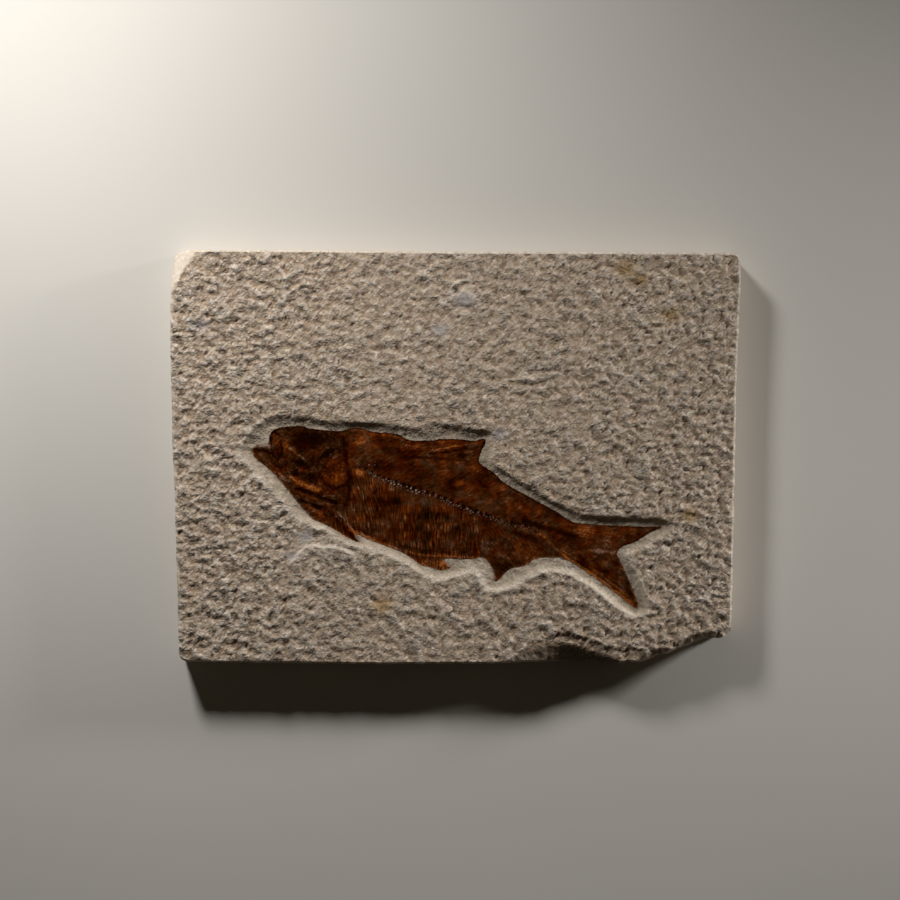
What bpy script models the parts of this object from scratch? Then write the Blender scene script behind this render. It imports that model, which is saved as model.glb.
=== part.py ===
"""A fossil fish in its limestone slab, lying face up.

The fish lies in a shallow hollow that was cleaned out around it, bedded in a pocket of its own outline.
All lengths below are in millimetres. x runs to the right across the face, y towards its top edge and z out
of the face. The origin is the middle of the back, which the slab rests on.
"""

import math

import bmesh
import bpy
import numpy as np
from mathutils import Matrix, Vector, noise

MM = 0.001

# Sizes of the slab
SLAB_WIDTH = 154.2
SLAB_HEIGHT = 111.9
FACE_LEVEL = 10.0
FACE_CELL = 2.85
LUMP_LENGTH = 7.0
LUMP_STRETCH = 1.3
LUMP_HEIGHT = 0.8
ARRIS_DROP = 0.9
ARRIS_INSET = 0.6

# Sizes of the hollow and of the fish bedded in it
HOLLOW_DEPTH = 1.7
POCKET_DEPTH = 0.8
FIT_GAP = 0.3
FISH_CELL = 1.3
FISH_EDGE_RISE = 0.25
FISH_CROWN = 1.0
CROWN_REACH = 3.2

# Height above everything where a cutter ends, clear of the stone
CLEAR = 4.0

# Outline of the slab, clockwise from the worn top left corner
SLAB_OUTLINE = (
    (-77.0, 42.3), (-76.8, 46.4), (-76.5, 51.0), (-76.0, 54.2), (-75.1, 55.5), (-71.7, 55.9),
    (-42.0, 55.8), (0.0, 55.4), (39.0, 55.3), (74.8, 55.1), (76.3, 54.8), (76.9, 53.8),
    (77.1, 47.7), (76.6, 36.9), (76.0, 23.4), (75.6, 4.5), (75.2, -17.1), (74.7, -38.7),
    (74.5, -45.4), (73.7, -47.5), (71.4, -48.7), (67.1, -49.1), (64.4, -49.8), (61.2, -51.4),
    (57.4, -52.9), (54.1, -53.8), (51.9, -54.9), (49.8, -55.6), (28.2, -55.4), (12.0, -55.8),
    (-20.4, -56.0), (-42.0, -55.7), (-69.0, -55.5), (-72.2, -55.4), (-74.0, -54.8), (-74.7, -53.5),
    (-74.9, -46.8), (-75.2, -36.0), (-75.6, -22.5), (-75.9, -9.0), (-76.5, 1.8), (-76.7, 15.3),
    (-77.1, 31.5),
)

# Outline of the fish, clockwise from the tip of its jaw, one stretch a line
HEAD_TOP = (
    (-55.1, 1.8), (-54.3, 2.8), (-53.5, 3.2), (-51.3, 3.2), (-50.4, 4.0), (-49.8, 5.3), (-48.7, 7.5),
    (-47.8, 8.2), (-44.7, 8.3), (-41.3, 8.0), (-39.3, 7.2), (-33.9, 7.0), (-30.6, 7.0), (-28.5, 7.6),
)
NAPE = ((-25.8, 7.8), (-22.0, 6.7), (-17.7, 6.4), (-15.5, 6.1), (-13.9, 5.1), (-11.7, 4.4))
DORSAL_FIN = (
    (-6.3, 4.4), (-4.2, 4.8), (1.2, 4.7), (5.0, 4.3), (7.8, 4.9), (8.0, 3.6), (6.9, 1.8), (6.3, -0.9),
    (7.2, -2.2),
)
BACK = ((10.9, -4.8), (12.8, -6.8), (15.3, -8.3), (21.5, -11.7), (26.9, -14.6), (30.9, -17.3))
TAIL_UPPER_LOBE = (
    (33.6, -18.0), (39.0, -18.4), (47.1, -18.8), (52.5, -18.9), (55.6, -18.9), (52.5, -20.6),
    (48.7, -23.0), (45.5, -24.1), (43.6, -25.7),
)
TAIL_LOWER_LOBE = (
    (43.9, -26.8), (44.7, -28.4), (46.0, -31.4), (47.4, -34.6), (48.7, -37.9), (49.3, -39.5),
    (48.9, -40.8), (47.7, -40.4), (44.4, -37.7), (39.6, -34.1), (33.1, -29.6), (30.4, -27.9),
)
ANAL_FIN = (
    (27.7, -27.2), (21.5, -27.6), (20.1, -28.7), (18.2, -29.6), (15.0, -30.3), (13.4, -31.4),
    (11.2, -33.7), (10.5, -33.0), (10.4, -31.4), (9.6, -29.5), (8.2, -27.7), (6.6, -27.1),
)
BELLY = ((4.5, -27.7), (-0.1, -27.6), (-2.3, -27.3))
PELVIC_FIN = (
    (-3.2, -27.9), (-2.6, -28.7), (-1.5, -30.0), (-2.3, -30.4), (-4.2, -30.6), (-6.3, -30.0),
    (-9.6, -29.0), (-12.8, -26.8),
)
BREAST = ((-16.3, -25.0), (-19.8, -23.7), (-24.4, -21.8), (-26.3, -20.9))
PECTORAL_FIN = (
    (-27.1, -21.7), (-26.5, -22.6), (-27.4, -22.9), (-29.0, -22.1), (-31.7, -20.5), (-34.4, -18.8),
)
THROAT = (
    (-37.1, -17.6), (-38.5, -16.9), (-40.6, -14.8), (-42.8, -12.2), (-45.2, -9.2), (-47.4, -6.5),
    (-50.1, -3.6), (-52.2, -2.0), (-53.9, -0.5), (-54.7, 0.7),
)
FISH_OUTLINE = (
    HEAD_TOP + NAPE + DORSAL_FIN + BACK + TAIL_UPPER_LOBE + TAIL_LOWER_LOBE
    + ANAL_FIN + BELLY + PELVIC_FIN + BREAST + PECTORAL_FIN + THROAT
)

# The hollow's wall, clockwise from the jaw, as points at its foot, each with the one above it on its rim
HOLLOW_WALL = (
    ((-56.0, 1.8), (-58.2, 1.8)), ((-53.3, 4.3), (-56.0, 5.9)), ((-50.6, 5.6), (-52.8, 9.1)),
    ((-48.9, 8.9), (-49.0, 11.3)), ((-42.0, 9.0), (-42.0, 11.1)), ((-33.9, 8.0), (-33.9, 10.3)),
    ((-26.3, 8.7), (-25.8, 9.8)), ((-19.3, 7.3), (-19.0, 8.5)), ((-12.8, 5.6), (-12.3, 7.2)),
    ((-5.3, 5.7), (-5.0, 8.4)), ((1.8, 5.6), (1.8, 7.4)), ((8.5, 5.8), (9.3, 6.9)),
    ((9.2, 3.7), (10.9, 4.3)), ((8.2, 0.2), (10.7, 0.2)), ((8.9, -2.2), (11.3, -2.7)),
    ((12.1, -4.7), (13.9, -4.4)), ((16.1, -7.9), (18.0, -7.2)), ((21.8, -10.9), (23.4, -9.9)),
    ((27.0, -13.8), (28.2, -12.7)), ((31.2, -16.3), (31.9, -14.8)), ((36.0, -17.2), (36.3, -15.9)),
    ((44.4, -17.8), (44.4, -16.3)), ((52.5, -18.0), (52.5, -16.7)), ((57.0, -18.3), (58.5, -17.5)),
    ((56.7, -19.7), (58.4, -20.0)), ((52.0, -21.8), (53.9, -22.9)), ((48.4, -24.2), (49.8, -25.4)),
    ((45.1, -25.4), (46.2, -26.7)), ((45.2, -27.9), (46.5, -28.2)), ((47.0, -31.3), (48.4, -31.2)),
    ((48.4, -34.9), (50.1, -34.8)), ((50.0, -38.3), (51.7, -38.6)), ((50.2, -40.9), (52.3, -41.8)),
    ((48.6, -41.8), (49.0, -43.2)), ((46.0, -40.1), (45.0, -41.3)), ((41.3, -36.6), (40.4, -37.9)),
    ((35.6, -32.5), (35.0, -34.1)), ((30.4, -29.1), (29.6, -31.7)), ((24.4, -28.7), (24.2, -31.1)),
    ((18.7, -30.8), (19.6, -32.9)), ((14.2, -32.7), (14.6, -35.4)), ((10.9, -34.9), (9.0, -36.3)),
    ((9.2, -31.4), (6.4, -33.4)), ((7.2, -28.7), (4.2, -30.9)), ((-0.2, -29.4), (0.3, -32.3)),
    ((-4.2, -31.7), (-5.3, -33.6)), ((-10.1, -30.0), (-10.9, -32.2)), ((-15.5, -26.5), (-17.1, -28.7)),
    ((-20.9, -24.5), (-22.5, -25.9)), ((-26.3, -23.8), (-26.9, -25.1)), ((-30.3, -22.3), (-31.2, -23.5)),
    ((-35.1, -19.4), (-36.6, -20.8)), ((-39.7, -17.1), (-42.0, -17.6)), ((-43.5, -12.7), (-46.3, -13.6)),
    ((-47.9, -7.6), (-51.2, -7.8)), ((-52.4, -3.2), (-55.5, -3.2)), ((-55.5, -0.1), (-57.8, -0.5)),
)

# Bones that show in the fish's outer form
BACKBONE = (
    (-28.0, -2.9), (-23.9, -3.9), (-19.0, -6.2), (-13.6, -7.9), (-8.2, -9.8), (-2.8, -11.9), (2.6, -14.3),
    (9.3, -16.8), (16.1, -18.3), (21.5, -19.5), (26.9, -20.9), (31.5, -22.3),
)
BACKBONE_WIDTH = 1.7
BACKBONE_RISE = 0.35
SHOULDER_BONE = ((-29.3, 6.4), (-28.6, 1.8), (-28.3, -4.9), (-29.3, -10.9), (-31.2, -15.7))
SHOULDER_WIDTH = 1.5
SHOULDER_RISE = 0.25
JAW_BAR = ((-46.5, -4.2), (-42.0, -7.4), (-38.7, -8.7), (-34.5, -9.2))
JAW_WIDTH = 1.4
JAW_RISE = 0.3
GILL_COVER_CENTRE = (-33.0, -4.4)
GILL_COVER_REACH = 6.5
GILL_COVER_RISE = 0.4
EYE_CENTRE = (-41.2, 2.9)
EYE_REACH = 4.6
EYE_DEPTH = 0.4

# Lumps and hollows of the face that stand out from the rest, each as (middle, reach, rise)
FACE_SPOTS = (
    ((2.8, 43.2), 5.0, 0.9),
    ((-68.5, 36.2), 4.5, -0.9),
    ((-39.6, -22.4), 4.0, -0.7),
    ((30.5, -45.5), 7.0, 0.7),
    ((62.0, -44.0), 7.0, -0.6),
)
FLAKE_EDGE = ((-46.0, -29.4), (-43.4, -28.2), (-40.4, -25.6), (-35.8, -25.0), (-30.1, -26.4), (-27.1, -28.0))
FLAKE_REACH = 3.6
FLAKE_RISE = 0.7

# Breaks in the stone: the worn top left corner and the chip in the bottom edge
WORN_CORNER_LINE = ((-69.5, 55.3), (-75.4, 41.5))
WORN_CORNER_SLOPE = math.radians(24.0)
WORN_CORNER_BOX = 40.0
EDGE_CHIP_CENTRE = (32.6, -60.5, 12.5)
EDGE_CHIP_RADII = (18.5, 10.2, 8.0)

# How far a grid runs past the outline that it is trimmed to
OVERRUN = 1.0


def srgb(hex_colour):
    """A colour given as #rrggbb, as the linear values that a shader takes."""
    channels = [int(hex_colour[i : i + 2], 16) / 255 for i in (1, 3, 5)]
    return [c / 12.92 if c <= 0.04045 else ((c + 0.055) / 1.055) ** 2.4 for c in channels] + [1.0]


def material(name, hex_colour, roughness):
    made = bpy.data.materials.new(name)
    made.use_nodes = True
    shader = made.node_tree.nodes["Principled BSDF"]
    shader.inputs["Base Color"].default_value = srgb(hex_colour)
    shader.inputs["Roughness"].default_value = roughness
    shader.inputs["Metallic"].default_value = 0.0
    return made


def smooth_step(value):
    """0 below 0, 1 above 1 and a smooth rise between them."""
    t = np.clip(value, 0.0, 1.0)
    return t * t * (3.0 - 2.0 * t)


def closed_curve(points, steps):
    """Points along a smooth closed curve through these, with this many steps from one to the next."""
    p = np.array(points, float)
    before, after, beyond = np.roll(p, 1, 0), np.roll(p, -1, 0), np.roll(p, -2, 0)
    rows = []
    for i in range(steps):
        t = i / steps
        rows.append(
            0.5
            * (
                2 * p
                + (after - before) * t
                + (2 * before - 5 * p + 4 * after - beyond) * t**2
                + (3 * p - before - 3 * after + beyond) * t**3
            )
        )
    return np.stack(rows, axis=1).reshape(-1, 2)


def grown(loop, distance):
    """A clockwise loop moved outwards by this distance."""
    along = np.roll(loop, -1, 0) - np.roll(loop, 1, 0)
    along /= np.linalg.norm(along, axis=1, keepdims=True)
    return loop + distance * np.stack([-along[:, 1], along[:, 0]], axis=1)


def distance_to_line(points, line):
    """How far each point is from a line through these corners."""
    best = np.full(len(points), np.inf)
    for a, b in zip(line[:-1], line[1:]):
        a, b = np.array(a, float), np.array(b, float)
        span = b - a
        t = np.clip((points - a) @ span / (span @ span), 0.0, 1.0)
        best = np.minimum(best, np.linalg.norm(points - a - t[:, None] * span, axis=1))
    return best


def dome(points, middle, reach):
    """1 at the middle, falling smoothly to 0 at this reach from it."""
    return smooth_step(1.0 - np.linalg.norm(points - np.array(middle), axis=1) / reach)


def ridge(points, line, width):
    """1 along the line, falling smoothly to 0 at this width from it."""
    return smooth_step(1.0 - distance_to_line(points, line) / width)


def link(name, mesh, collection, finish=None):
    made = bpy.data.objects.new(name, mesh)
    collection.objects.link(made)
    if finish:
        mesh.materials.append(finish)
    return made


def mesh_of(bm, name):
    """A mesh in metres from a bmesh drawn in millimetres, its faces turned outwards."""
    bmesh.ops.recalc_face_normals(bm, faces=bm.faces)
    bmesh.ops.scale(bm, vec=Vector((MM, MM, MM)), verts=bm.verts)
    mesh = bpy.data.meshes.new(name)
    bm.to_mesh(mesh)
    bm.free()
    return mesh


def loft(name, sections):
    """A closed solid through level loops, given from the lowest up as (loop, height)."""
    bm = bmesh.new()
    rings = []
    for loop, height in sections:
        verts = [bm.verts.new((x, y, height)) for x, y in loop]
        rings.append([bm.edges.new((a, b)) for a, b in zip(verts, verts[1:] + verts[:1])])
    for low, high in zip(rings[:-1], rings[1:]):
        bmesh.ops.bridge_loops(bm, edges=low + high)
    bmesh.ops.edgeloop_fill(bm, edges=rings[0])
    bmesh.ops.edgeloop_fill(bm, edges=rings[-1])
    return mesh_of(bm, name)


def relief_block(name, size, cell, place, height, bottom):
    """A block with a level underside. Its top is a grid that is placed and then raised to height(points)."""
    bm = bmesh.new()
    columns, rows = (max(1, round(side / cell)) for side in size)
    bmesh.ops.create_grid(bm, x_segments=columns, y_segments=rows, size=0.5)
    bmesh.ops.scale(bm, vec=Vector((size[0], size[1], 1.0)), verts=bm.verts)
    bmesh.ops.transform(bm, matrix=place, verts=bm.verts)
    top = list(bm.verts)
    for vert, z in zip(top, height(np.array([v.co[:2] for v in top]))):
        vert.co.z = z
    rim = [edge for edge in bm.edges if edge.is_boundary]
    walls = bmesh.ops.extrude_edge_only(bm, edges=rim)["geom"]
    for vert in walls:
        if isinstance(vert, bmesh.types.BMVert):
            vert.co.z = bottom
    foot = [e for e in walls if isinstance(e, bmesh.types.BMEdge) and e.is_boundary]
    bmesh.ops.edgeloop_fill(bm, edges=foot)
    return mesh_of(bm, name)


def boolean(target, operation, cutter):
    modifier = target.modifiers.new(cutter.name, "BOOLEAN")
    modifier.operation = operation
    modifier.solver = "EXACT"
    modifier.object = cutter
    cutter.hide_render = True
    cutter.display_type = "WIRE"


def stone_height(points):
    """The pecked face: broad lumps, a little longer across the slab than up it, and those that stand out."""
    places = [Vector((x, y * LUMP_STRETCH, 0.0)) / LUMP_LENGTH for x, y in points]
    z = FACE_LEVEL + LUMP_HEIGHT * np.array([noise.fractal(place, 0.9, 2.0, 2) for place in places])
    for middle, reach, rise in FACE_SPOTS:
        z += rise * dome(points, middle, reach)
    return z + FLAKE_RISE * ridge(points, FLAKE_EDGE, FLAKE_REACH)


def fish_height(points):
    """The flattened body, highest along its middle, with the bones that stand out of it."""
    loop = closed_curve(FISH_OUTLINE, 1)
    inward = distance_to_line(points, np.vstack([loop, loop[:1]]))
    z = FACE_LEVEL - HOLLOW_DEPTH + FISH_EDGE_RISE + FISH_CROWN * (1.0 - np.exp(-inward / CROWN_REACH))
    z += BACKBONE_RISE * ridge(points, BACKBONE, BACKBONE_WIDTH)
    z += SHOULDER_RISE * ridge(points, SHOULDER_BONE, SHOULDER_WIDTH)
    z += JAW_RISE * ridge(points, JAW_BAR, JAW_WIDTH)
    z += GILL_COVER_RISE * dome(points, GILL_COVER_CENTRE, GILL_COVER_REACH)
    return z - EYE_DEPTH * dome(points, EYE_CENTRE, EYE_REACH)


def make_slab(parts, cutters):
    """The slab, trimmed to its outline, then hollowed around the fish and broken at two corners."""
    finish = material("fine grained limestone", "#ada192", 0.92)
    block_size = (SLAB_WIDTH + 2 * OVERRUN, SLAB_HEIGHT + 2 * OVERRUN)
    block = relief_block("limestone_slab", block_size, FACE_CELL, Matrix.Identity(4), stone_height, 0.0)
    slab = link("limestone_slab", block, parts, finish)

    outline = np.array(SLAB_OUTLINE)
    trim = loft(
        "slab_outline",
        [
            (outline, -CLEAR),
            (outline, FACE_LEVEL - ARRIS_DROP),
            (grown(outline, -ARRIS_INSET), FACE_LEVEL),
            (grown(outline, -ARRIS_INSET), FACE_LEVEL + CLEAR),
        ],
    )
    boolean(slab, "INTERSECT", link("slab_outline", trim, cutters))

    foot = closed_curve([row[0] for row in HOLLOW_WALL], 2)
    rim = closed_curve([row[1] for row in HOLLOW_WALL], 2)
    floor = FACE_LEVEL - HOLLOW_DEPTH
    hollow = loft("hollow", [(foot, floor), (rim, FACE_LEVEL), (rim, FACE_LEVEL + CLEAR)])
    boolean(slab, "DIFFERENCE", link("hollow", hollow, cutters))

    pocket_outline = grown(closed_curve(FISH_OUTLINE, 1), FIT_GAP)
    pocket = loft("pocket", [(pocket_outline, floor - POCKET_DEPTH), (pocket_outline, FACE_LEVEL + CLEAR)])
    boolean(slab, "DIFFERENCE", link("pocket", pocket, cutters))

    boolean(slab, "DIFFERENCE", worn_corner_cutter(cutters))
    boolean(slab, "DIFFERENCE", edge_chip_cutter(cutters))
    return slab


def worn_corner_cutter(cutters):
    """A box whose underside is the sloping facet at the top left corner."""
    near, far = (Vector((x, y, FACE_LEVEL)) for x, y in WORN_CORNER_LINE)
    along = (far - near).normalized()
    outwards = Vector((along.y, -along.x, 0.0))
    down_slope = outwards * math.cos(WORN_CORNER_SLOPE) - Vector((0, 0, math.sin(WORN_CORNER_SLOPE)))
    up = along.cross(down_slope)
    if up.z < 0:
        up.negate()
    turn = Matrix((along, down_slope, up)).transposed().to_4x4()
    middle = (near + far) / 2 + (down_slope + up) * WORN_CORNER_BOX / 2
    bm = bmesh.new()
    bmesh.ops.create_cube(bm, size=WORN_CORNER_BOX, matrix=Matrix.Translation(middle) @ turn)
    return link("worn_corner", mesh_of(bm, "worn_corner"), cutters)


def edge_chip_cutter(cutters):
    """A flattened ball that leaves the shell-shaped scar in the bottom edge."""
    bm = bmesh.new()
    bmesh.ops.create_uvsphere(bm, u_segments=28, v_segments=16, radius=1.0)
    bmesh.ops.scale(bm, vec=Vector(EDGE_CHIP_RADII), verts=bm.verts)
    bmesh.ops.translate(bm, vec=Vector(EDGE_CHIP_CENTRE), verts=bm.verts)
    return link("edge_chip", mesh_of(bm, "edge_chip"), cutters)


def make_fish(parts, cutters):
    """The fish, a crowned film of bone and skin cut to its outline, one piece with its fins."""
    finish = material("fossil bone and skin", "#5a2c14", 0.42)
    jaw, fork = Vector(FISH_OUTLINE[0]), Vector(TAIL_UPPER_LOBE[-1])
    axis = fork - jaw
    tilt = math.atan2(axis.y, axis.x)
    turned = np.array(FISH_OUTLINE) @ np.array(
        ((math.cos(tilt), -math.sin(tilt)), (math.sin(tilt), math.cos(tilt)))
    )
    low, high = turned.min(axis=0) - OVERRUN, turned.max(axis=0) + OVERRUN
    middle = Vector(((low[0] + high[0]) / 2, (low[1] + high[1]) / 2, 0.0))
    place = Matrix.Rotation(tilt, 4, "Z") @ Matrix.Translation(middle)
    underside = FACE_LEVEL - HOLLOW_DEPTH - POCKET_DEPTH + FIT_GAP
    block = relief_block("knightia_fish", high - low, FISH_CELL, place, fish_height, underside)
    fish = link("knightia_fish", block, parts, finish)

    outline = closed_curve(FISH_OUTLINE, 1)
    trim = loft("fish_outline", [(outline, 0.0), (outline, FACE_LEVEL + CLEAR)])
    boolean(fish, "INTERSECT", link("fish_outline", trim, cutters))
    return fish


def main():
    for old in list(bpy.data.objects):
        bpy.data.objects.remove(old)
    parts = bpy.data.collections.new("knightia fossil fish")
    cutters = bpy.data.collections.new("cutters")
    for collection in (parts, cutters):
        bpy.context.scene.collection.children.link(collection)
    make_slab(parts, cutters)
    make_fish(parts, cutters)


main()
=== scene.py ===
"""The looks of a fossil fish lying in a hollow of its limestone slab, seen from straight above its face."""

import math

import bmesh
import bpy
import numpy as np
from bpy.props import FloatProperty, FloatVectorProperty, PointerProperty
from mathutils import Matrix, Vector


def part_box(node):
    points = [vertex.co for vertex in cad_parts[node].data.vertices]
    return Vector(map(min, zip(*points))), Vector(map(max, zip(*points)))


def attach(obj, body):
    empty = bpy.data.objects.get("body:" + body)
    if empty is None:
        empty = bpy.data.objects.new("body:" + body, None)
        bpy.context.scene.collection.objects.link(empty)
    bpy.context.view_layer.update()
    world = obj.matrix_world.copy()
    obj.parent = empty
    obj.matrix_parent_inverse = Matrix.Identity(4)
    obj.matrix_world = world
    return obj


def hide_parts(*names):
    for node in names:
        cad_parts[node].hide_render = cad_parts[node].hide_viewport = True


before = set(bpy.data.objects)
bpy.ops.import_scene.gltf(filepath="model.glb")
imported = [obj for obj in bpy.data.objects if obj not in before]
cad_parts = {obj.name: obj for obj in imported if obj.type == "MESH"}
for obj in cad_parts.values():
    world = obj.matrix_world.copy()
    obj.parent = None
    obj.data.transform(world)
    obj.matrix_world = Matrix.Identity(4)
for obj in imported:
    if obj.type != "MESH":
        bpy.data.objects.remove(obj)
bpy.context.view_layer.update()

bl_info = {
    "name": "Fossil Fish Slab",
    "version": (1, 0, 0),
    "blender": (4, 5, 0),
    "location": "3D View > Sidebar > Fossil",
    "description": "Models and finishes a fossil fish in its limestone slab",
    "category": "Add Mesh",
}

MM = 0.001

# Levels of the face, the hollow's floor and the fish's underside, in millimetres above the slab's back
FACE_LEVEL = 10.0
FLOOR_LEVEL = 8.8
FISH_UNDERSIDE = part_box("knightia_fish")[0][2] / MM

# How far the stone is cut down under the fish, the height of the small steps in the pecked face, and the
# number of rings of points down the slab's side
BED_DEPTH = 1.25
STEP_HEIGHT = 0.27
WALL_RINGS = 11

# Outline of the slab in millimetres, clockwise from the worn top left corner
SLAB_OUTLINE = (
    (-77.0, 42.3), (-76.8, 46.4), (-76.5, 51.0), (-76.0, 54.2), (-75.1, 55.5), (-71.7, 55.9),
    (-42.0, 55.8), (0.0, 55.4), (39.0, 55.3), (74.8, 55.1), (76.3, 54.8), (76.9, 53.8),
    (77.1, 47.7), (76.6, 36.9), (76.0, 23.4), (75.6, 4.5), (75.2, -17.1), (74.7, -38.7),
    (74.5, -45.4), (73.7, -47.5), (71.4, -48.7), (67.1, -49.1), (64.4, -49.8), (61.2, -51.4),
    (57.4, -52.9), (54.1, -53.8), (51.9, -54.9), (49.8, -55.6), (28.2, -55.4), (12.0, -55.8),
    (-20.4, -56.0), (-42.0, -55.7), (-69.0, -55.5), (-72.2, -55.4), (-74.0, -54.8), (-74.7, -53.5),
    (-74.9, -46.8), (-75.2, -36.0), (-75.6, -22.5), (-75.9, -9.0), (-76.5, 1.8), (-76.7, 15.3),
    (-77.1, 31.5),
)

# Outline of the fish, clockwise from the tip of its jaw, one stretch a line
HEAD_TOP = (
    (-55.1, 1.8), (-54.3, 2.8), (-53.5, 3.2), (-51.3, 3.2), (-50.5, 4.1), (-50.4, 5.4), (-49.7, 6.8),
    (-48.3, 7.7), (-45.2, 8.2), (-41.3, 8.3), (-39.3, 7.6), (-33.9, 7.1), (-30.6, 7.0), (-28.5, 7.6),
)
NAPE = ((-25.8, 7.8), (-22.0, 6.7), (-17.7, 6.4), (-15.5, 6.1), (-13.9, 5.1), (-11.7, 4.4))
DORSAL_FIN = (
    (-6.3, 4.4), (-4.2, 4.8), (1.2, 4.7), (5.0, 4.3), (7.8, 4.9), (8.0, 3.6), (6.9, 1.8), (6.3, -0.9),
    (7.2, -2.2),
)
BACK = ((10.9, -4.8), (12.8, -6.8), (15.3, -8.3), (21.5, -11.7), (26.9, -14.6), (30.9, -17.3))
TAIL_UPPER_LOBE = (
    (33.6, -18.0), (39.0, -18.4), (47.1, -18.8), (52.5, -18.9), (55.6, -18.9), (52.5, -20.6),
    (48.7, -23.0), (45.5, -24.1), (43.6, -25.7),
)
TAIL_LOWER_LOBE = (
    (43.9, -26.8), (44.7, -28.4), (46.0, -31.4), (47.4, -34.6), (48.7, -37.9), (49.3, -39.5),
    (48.9, -40.8), (47.7, -40.4), (44.4, -37.7), (39.6, -34.1), (33.1, -29.6), (30.4, -27.9),
)
ANAL_FIN = (
    (27.7, -27.2), (21.5, -27.6), (20.1, -28.7), (18.2, -29.6), (15.0, -30.3), (13.4, -31.4),
    (11.2, -33.7), (10.5, -33.0), (10.4, -31.4), (9.6, -29.5), (8.2, -27.7), (6.6, -27.1),
)
BELLY = ((4.5, -27.7), (-0.1, -27.6), (-2.3, -27.3))
PELVIC_FIN = (
    (-3.2, -27.9), (-2.6, -28.7), (-1.5, -30.0), (-2.3, -30.4), (-4.2, -30.6), (-6.3, -30.0),
    (-9.6, -29.0), (-12.8, -26.8),
)
BREAST = ((-16.3, -25.0), (-19.8, -23.7), (-24.4, -21.8), (-26.3, -20.9))
PECTORAL_FIN = (
    (-27.0, -21.8), (-25.8, -23.0), (-27.4, -22.8), (-29.0, -22.1), (-31.7, -20.5), (-34.4, -18.8),
)
THROAT = (
    (-37.1, -17.6), (-38.5, -16.9), (-40.6, -14.8), (-42.8, -12.2), (-45.2, -9.2), (-47.4, -6.5),
    (-50.1, -3.6), (-52.2, -2.0), (-53.9, -0.5), (-54.7, 0.7),
)
FISH_OUTLINE = (
    HEAD_TOP + NAPE + DORSAL_FIN + BACK + TAIL_UPPER_LOBE + TAIL_LOWER_LOBE
    + ANAL_FIN + BELLY + PELVIC_FIN + BREAST + PECTORAL_FIN + THROAT
)
# Slope of the fish's body in degrees, which its net of cells follows
FISH_TILT = -15.57

# Distance from one vertebra or rib to the next in millimetres
VERTEBRA_SPACING = 1.755
RIB_SPACING = 0.72

# Rim of the hollow, clockwise from the jaw
HOLLOW_RIM = (
    (-58.2, 1.8), (-56.0, 5.9), (-52.8, 9.1), (-49.0, 11.0), (-42.0, 10.9), (-33.9, 9.6), (-25.8, 9.2),
    (-19.0, 8.9), (-12.6, 7.8), (-9.5, 8.0), (-7.3, 8.8), (-3.0, 8.8), (1.8, 7.7), (9.3, 6.9), (10.9, 4.3),
    (10.7, 0.2), (11.3, -2.7), (13.9, -4.4), (18.0, -7.2), (23.2, -10.2), (28.0, -13.0), (31.9, -14.8),
    (36.3, -15.9), (44.4, -16.3), (52.5, -16.7), (58.5, -17.5), (58.4, -20.0), (53.9, -22.9),
    (49.8, -25.4), (46.2, -26.7), (46.5, -28.2), (48.4, -31.2), (50.1, -34.8), (51.7, -38.6),
    (52.3, -41.8), (49.0, -43.2), (45.0, -41.3), (40.4, -37.9), (35.0, -34.1), (29.6, -31.7),
    (24.2, -31.1), (19.6, -32.9), (14.6, -35.4), (9.0, -36.3), (6.4, -33.4), (4.2, -31.1), (0.3, -32.3),
    (-5.3, -33.4), (-10.9, -30.5), (-17.1, -27.3), (-22.5, -25.0), (-26.3, -24.7), (-30.2, -22.9),
    (-33.6, -20.7), (-36.8, -19.4), (-39.6, -18.4), (-42.6, -17.0), (-46.3, -13.6), (-51.2, -7.8),
    (-55.5, -3.2), (-57.8, -0.5),
)

# The worn corner, by two points of its upper edge and its slope
WORN_CORNER = ((-70.0, 55.5), (-76.4, 44.3))
WORN_SLOPE = math.tan(math.radians(38.0))

# The scoop in the bottom edge: its rim, its slope at some places across the slab, and the ledge above it
SCOOP_RIM = (
    (12.0, -56.8), (15.5, -54.0), (19.0, -51.6), (25.5, -50.0), (32.0, -50.6), (36.3, -52.2), (41.2, -53.8),
    (46.0, -55.6), (48.2, -56.6),
)
SCOOP_SLOPE = ((14.0, 0.3), (26.0, 0.42), (32.0, 1.0), (48.0, 0.8))
SCOOP_LEDGE = (
    (22.5, -49.6), (27.6, -47.9), (31.8, -47.6), (36.3, -49.6), (41.0, -51.2), (47.0, -51.9), (55.5, -51.8),
)

# A flake that came off below the breast: the ridge and step that it left, and its facet as middle, radii
# and angle
FLAKE_RIDGE = (
    (-45.6, -29.6), (-42.7, -26.2), (-40.3, -24.2), (-37.6, -23.7), (-35.6, -24.4), (-33.2, -24.0),
    (-30.5, -24.8), (-27.8, -26.1), (-26.4, -28.0),
)
FLAKE_FACET = ((-41.9, -22.6), (7.4, 3.4), 53.0)
FLAKE_STEP = 0.6

# The raised lip of a shell's mould and a crack in the left edge
SHELL_LIP = ((-1.4, 44.0), (-0.9, 45.8), (0.4, 47.0), (2.4, 47.5), (4.6, 47.3))
EDGE_CRACK = ((-77.2, 33.4), (-74.0, 33.8), (-70.3, 33.5))

# Iron stains and bluish places of the stone, as middle and radius
STAINS = (
    ((45.8, 51.0), 5.0), ((49.8, 47.7), 4.0), ((57.9, 38.3), 4.0), ((63.3, -15.7), 4.0),
    ((-20.0, -40.0), 5.0),
)
BLUE_SPOTS = (
    ((-4.2, 34.2), 4.0), ((2.6, 42.3), 5.0), ((-69.0, 35.6), 4.0), ((-40.4, -21.6), 4.0),
    ((-44.4, -26.8), 3.0), ((12.0, 6.0), 4.0),
)

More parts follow.
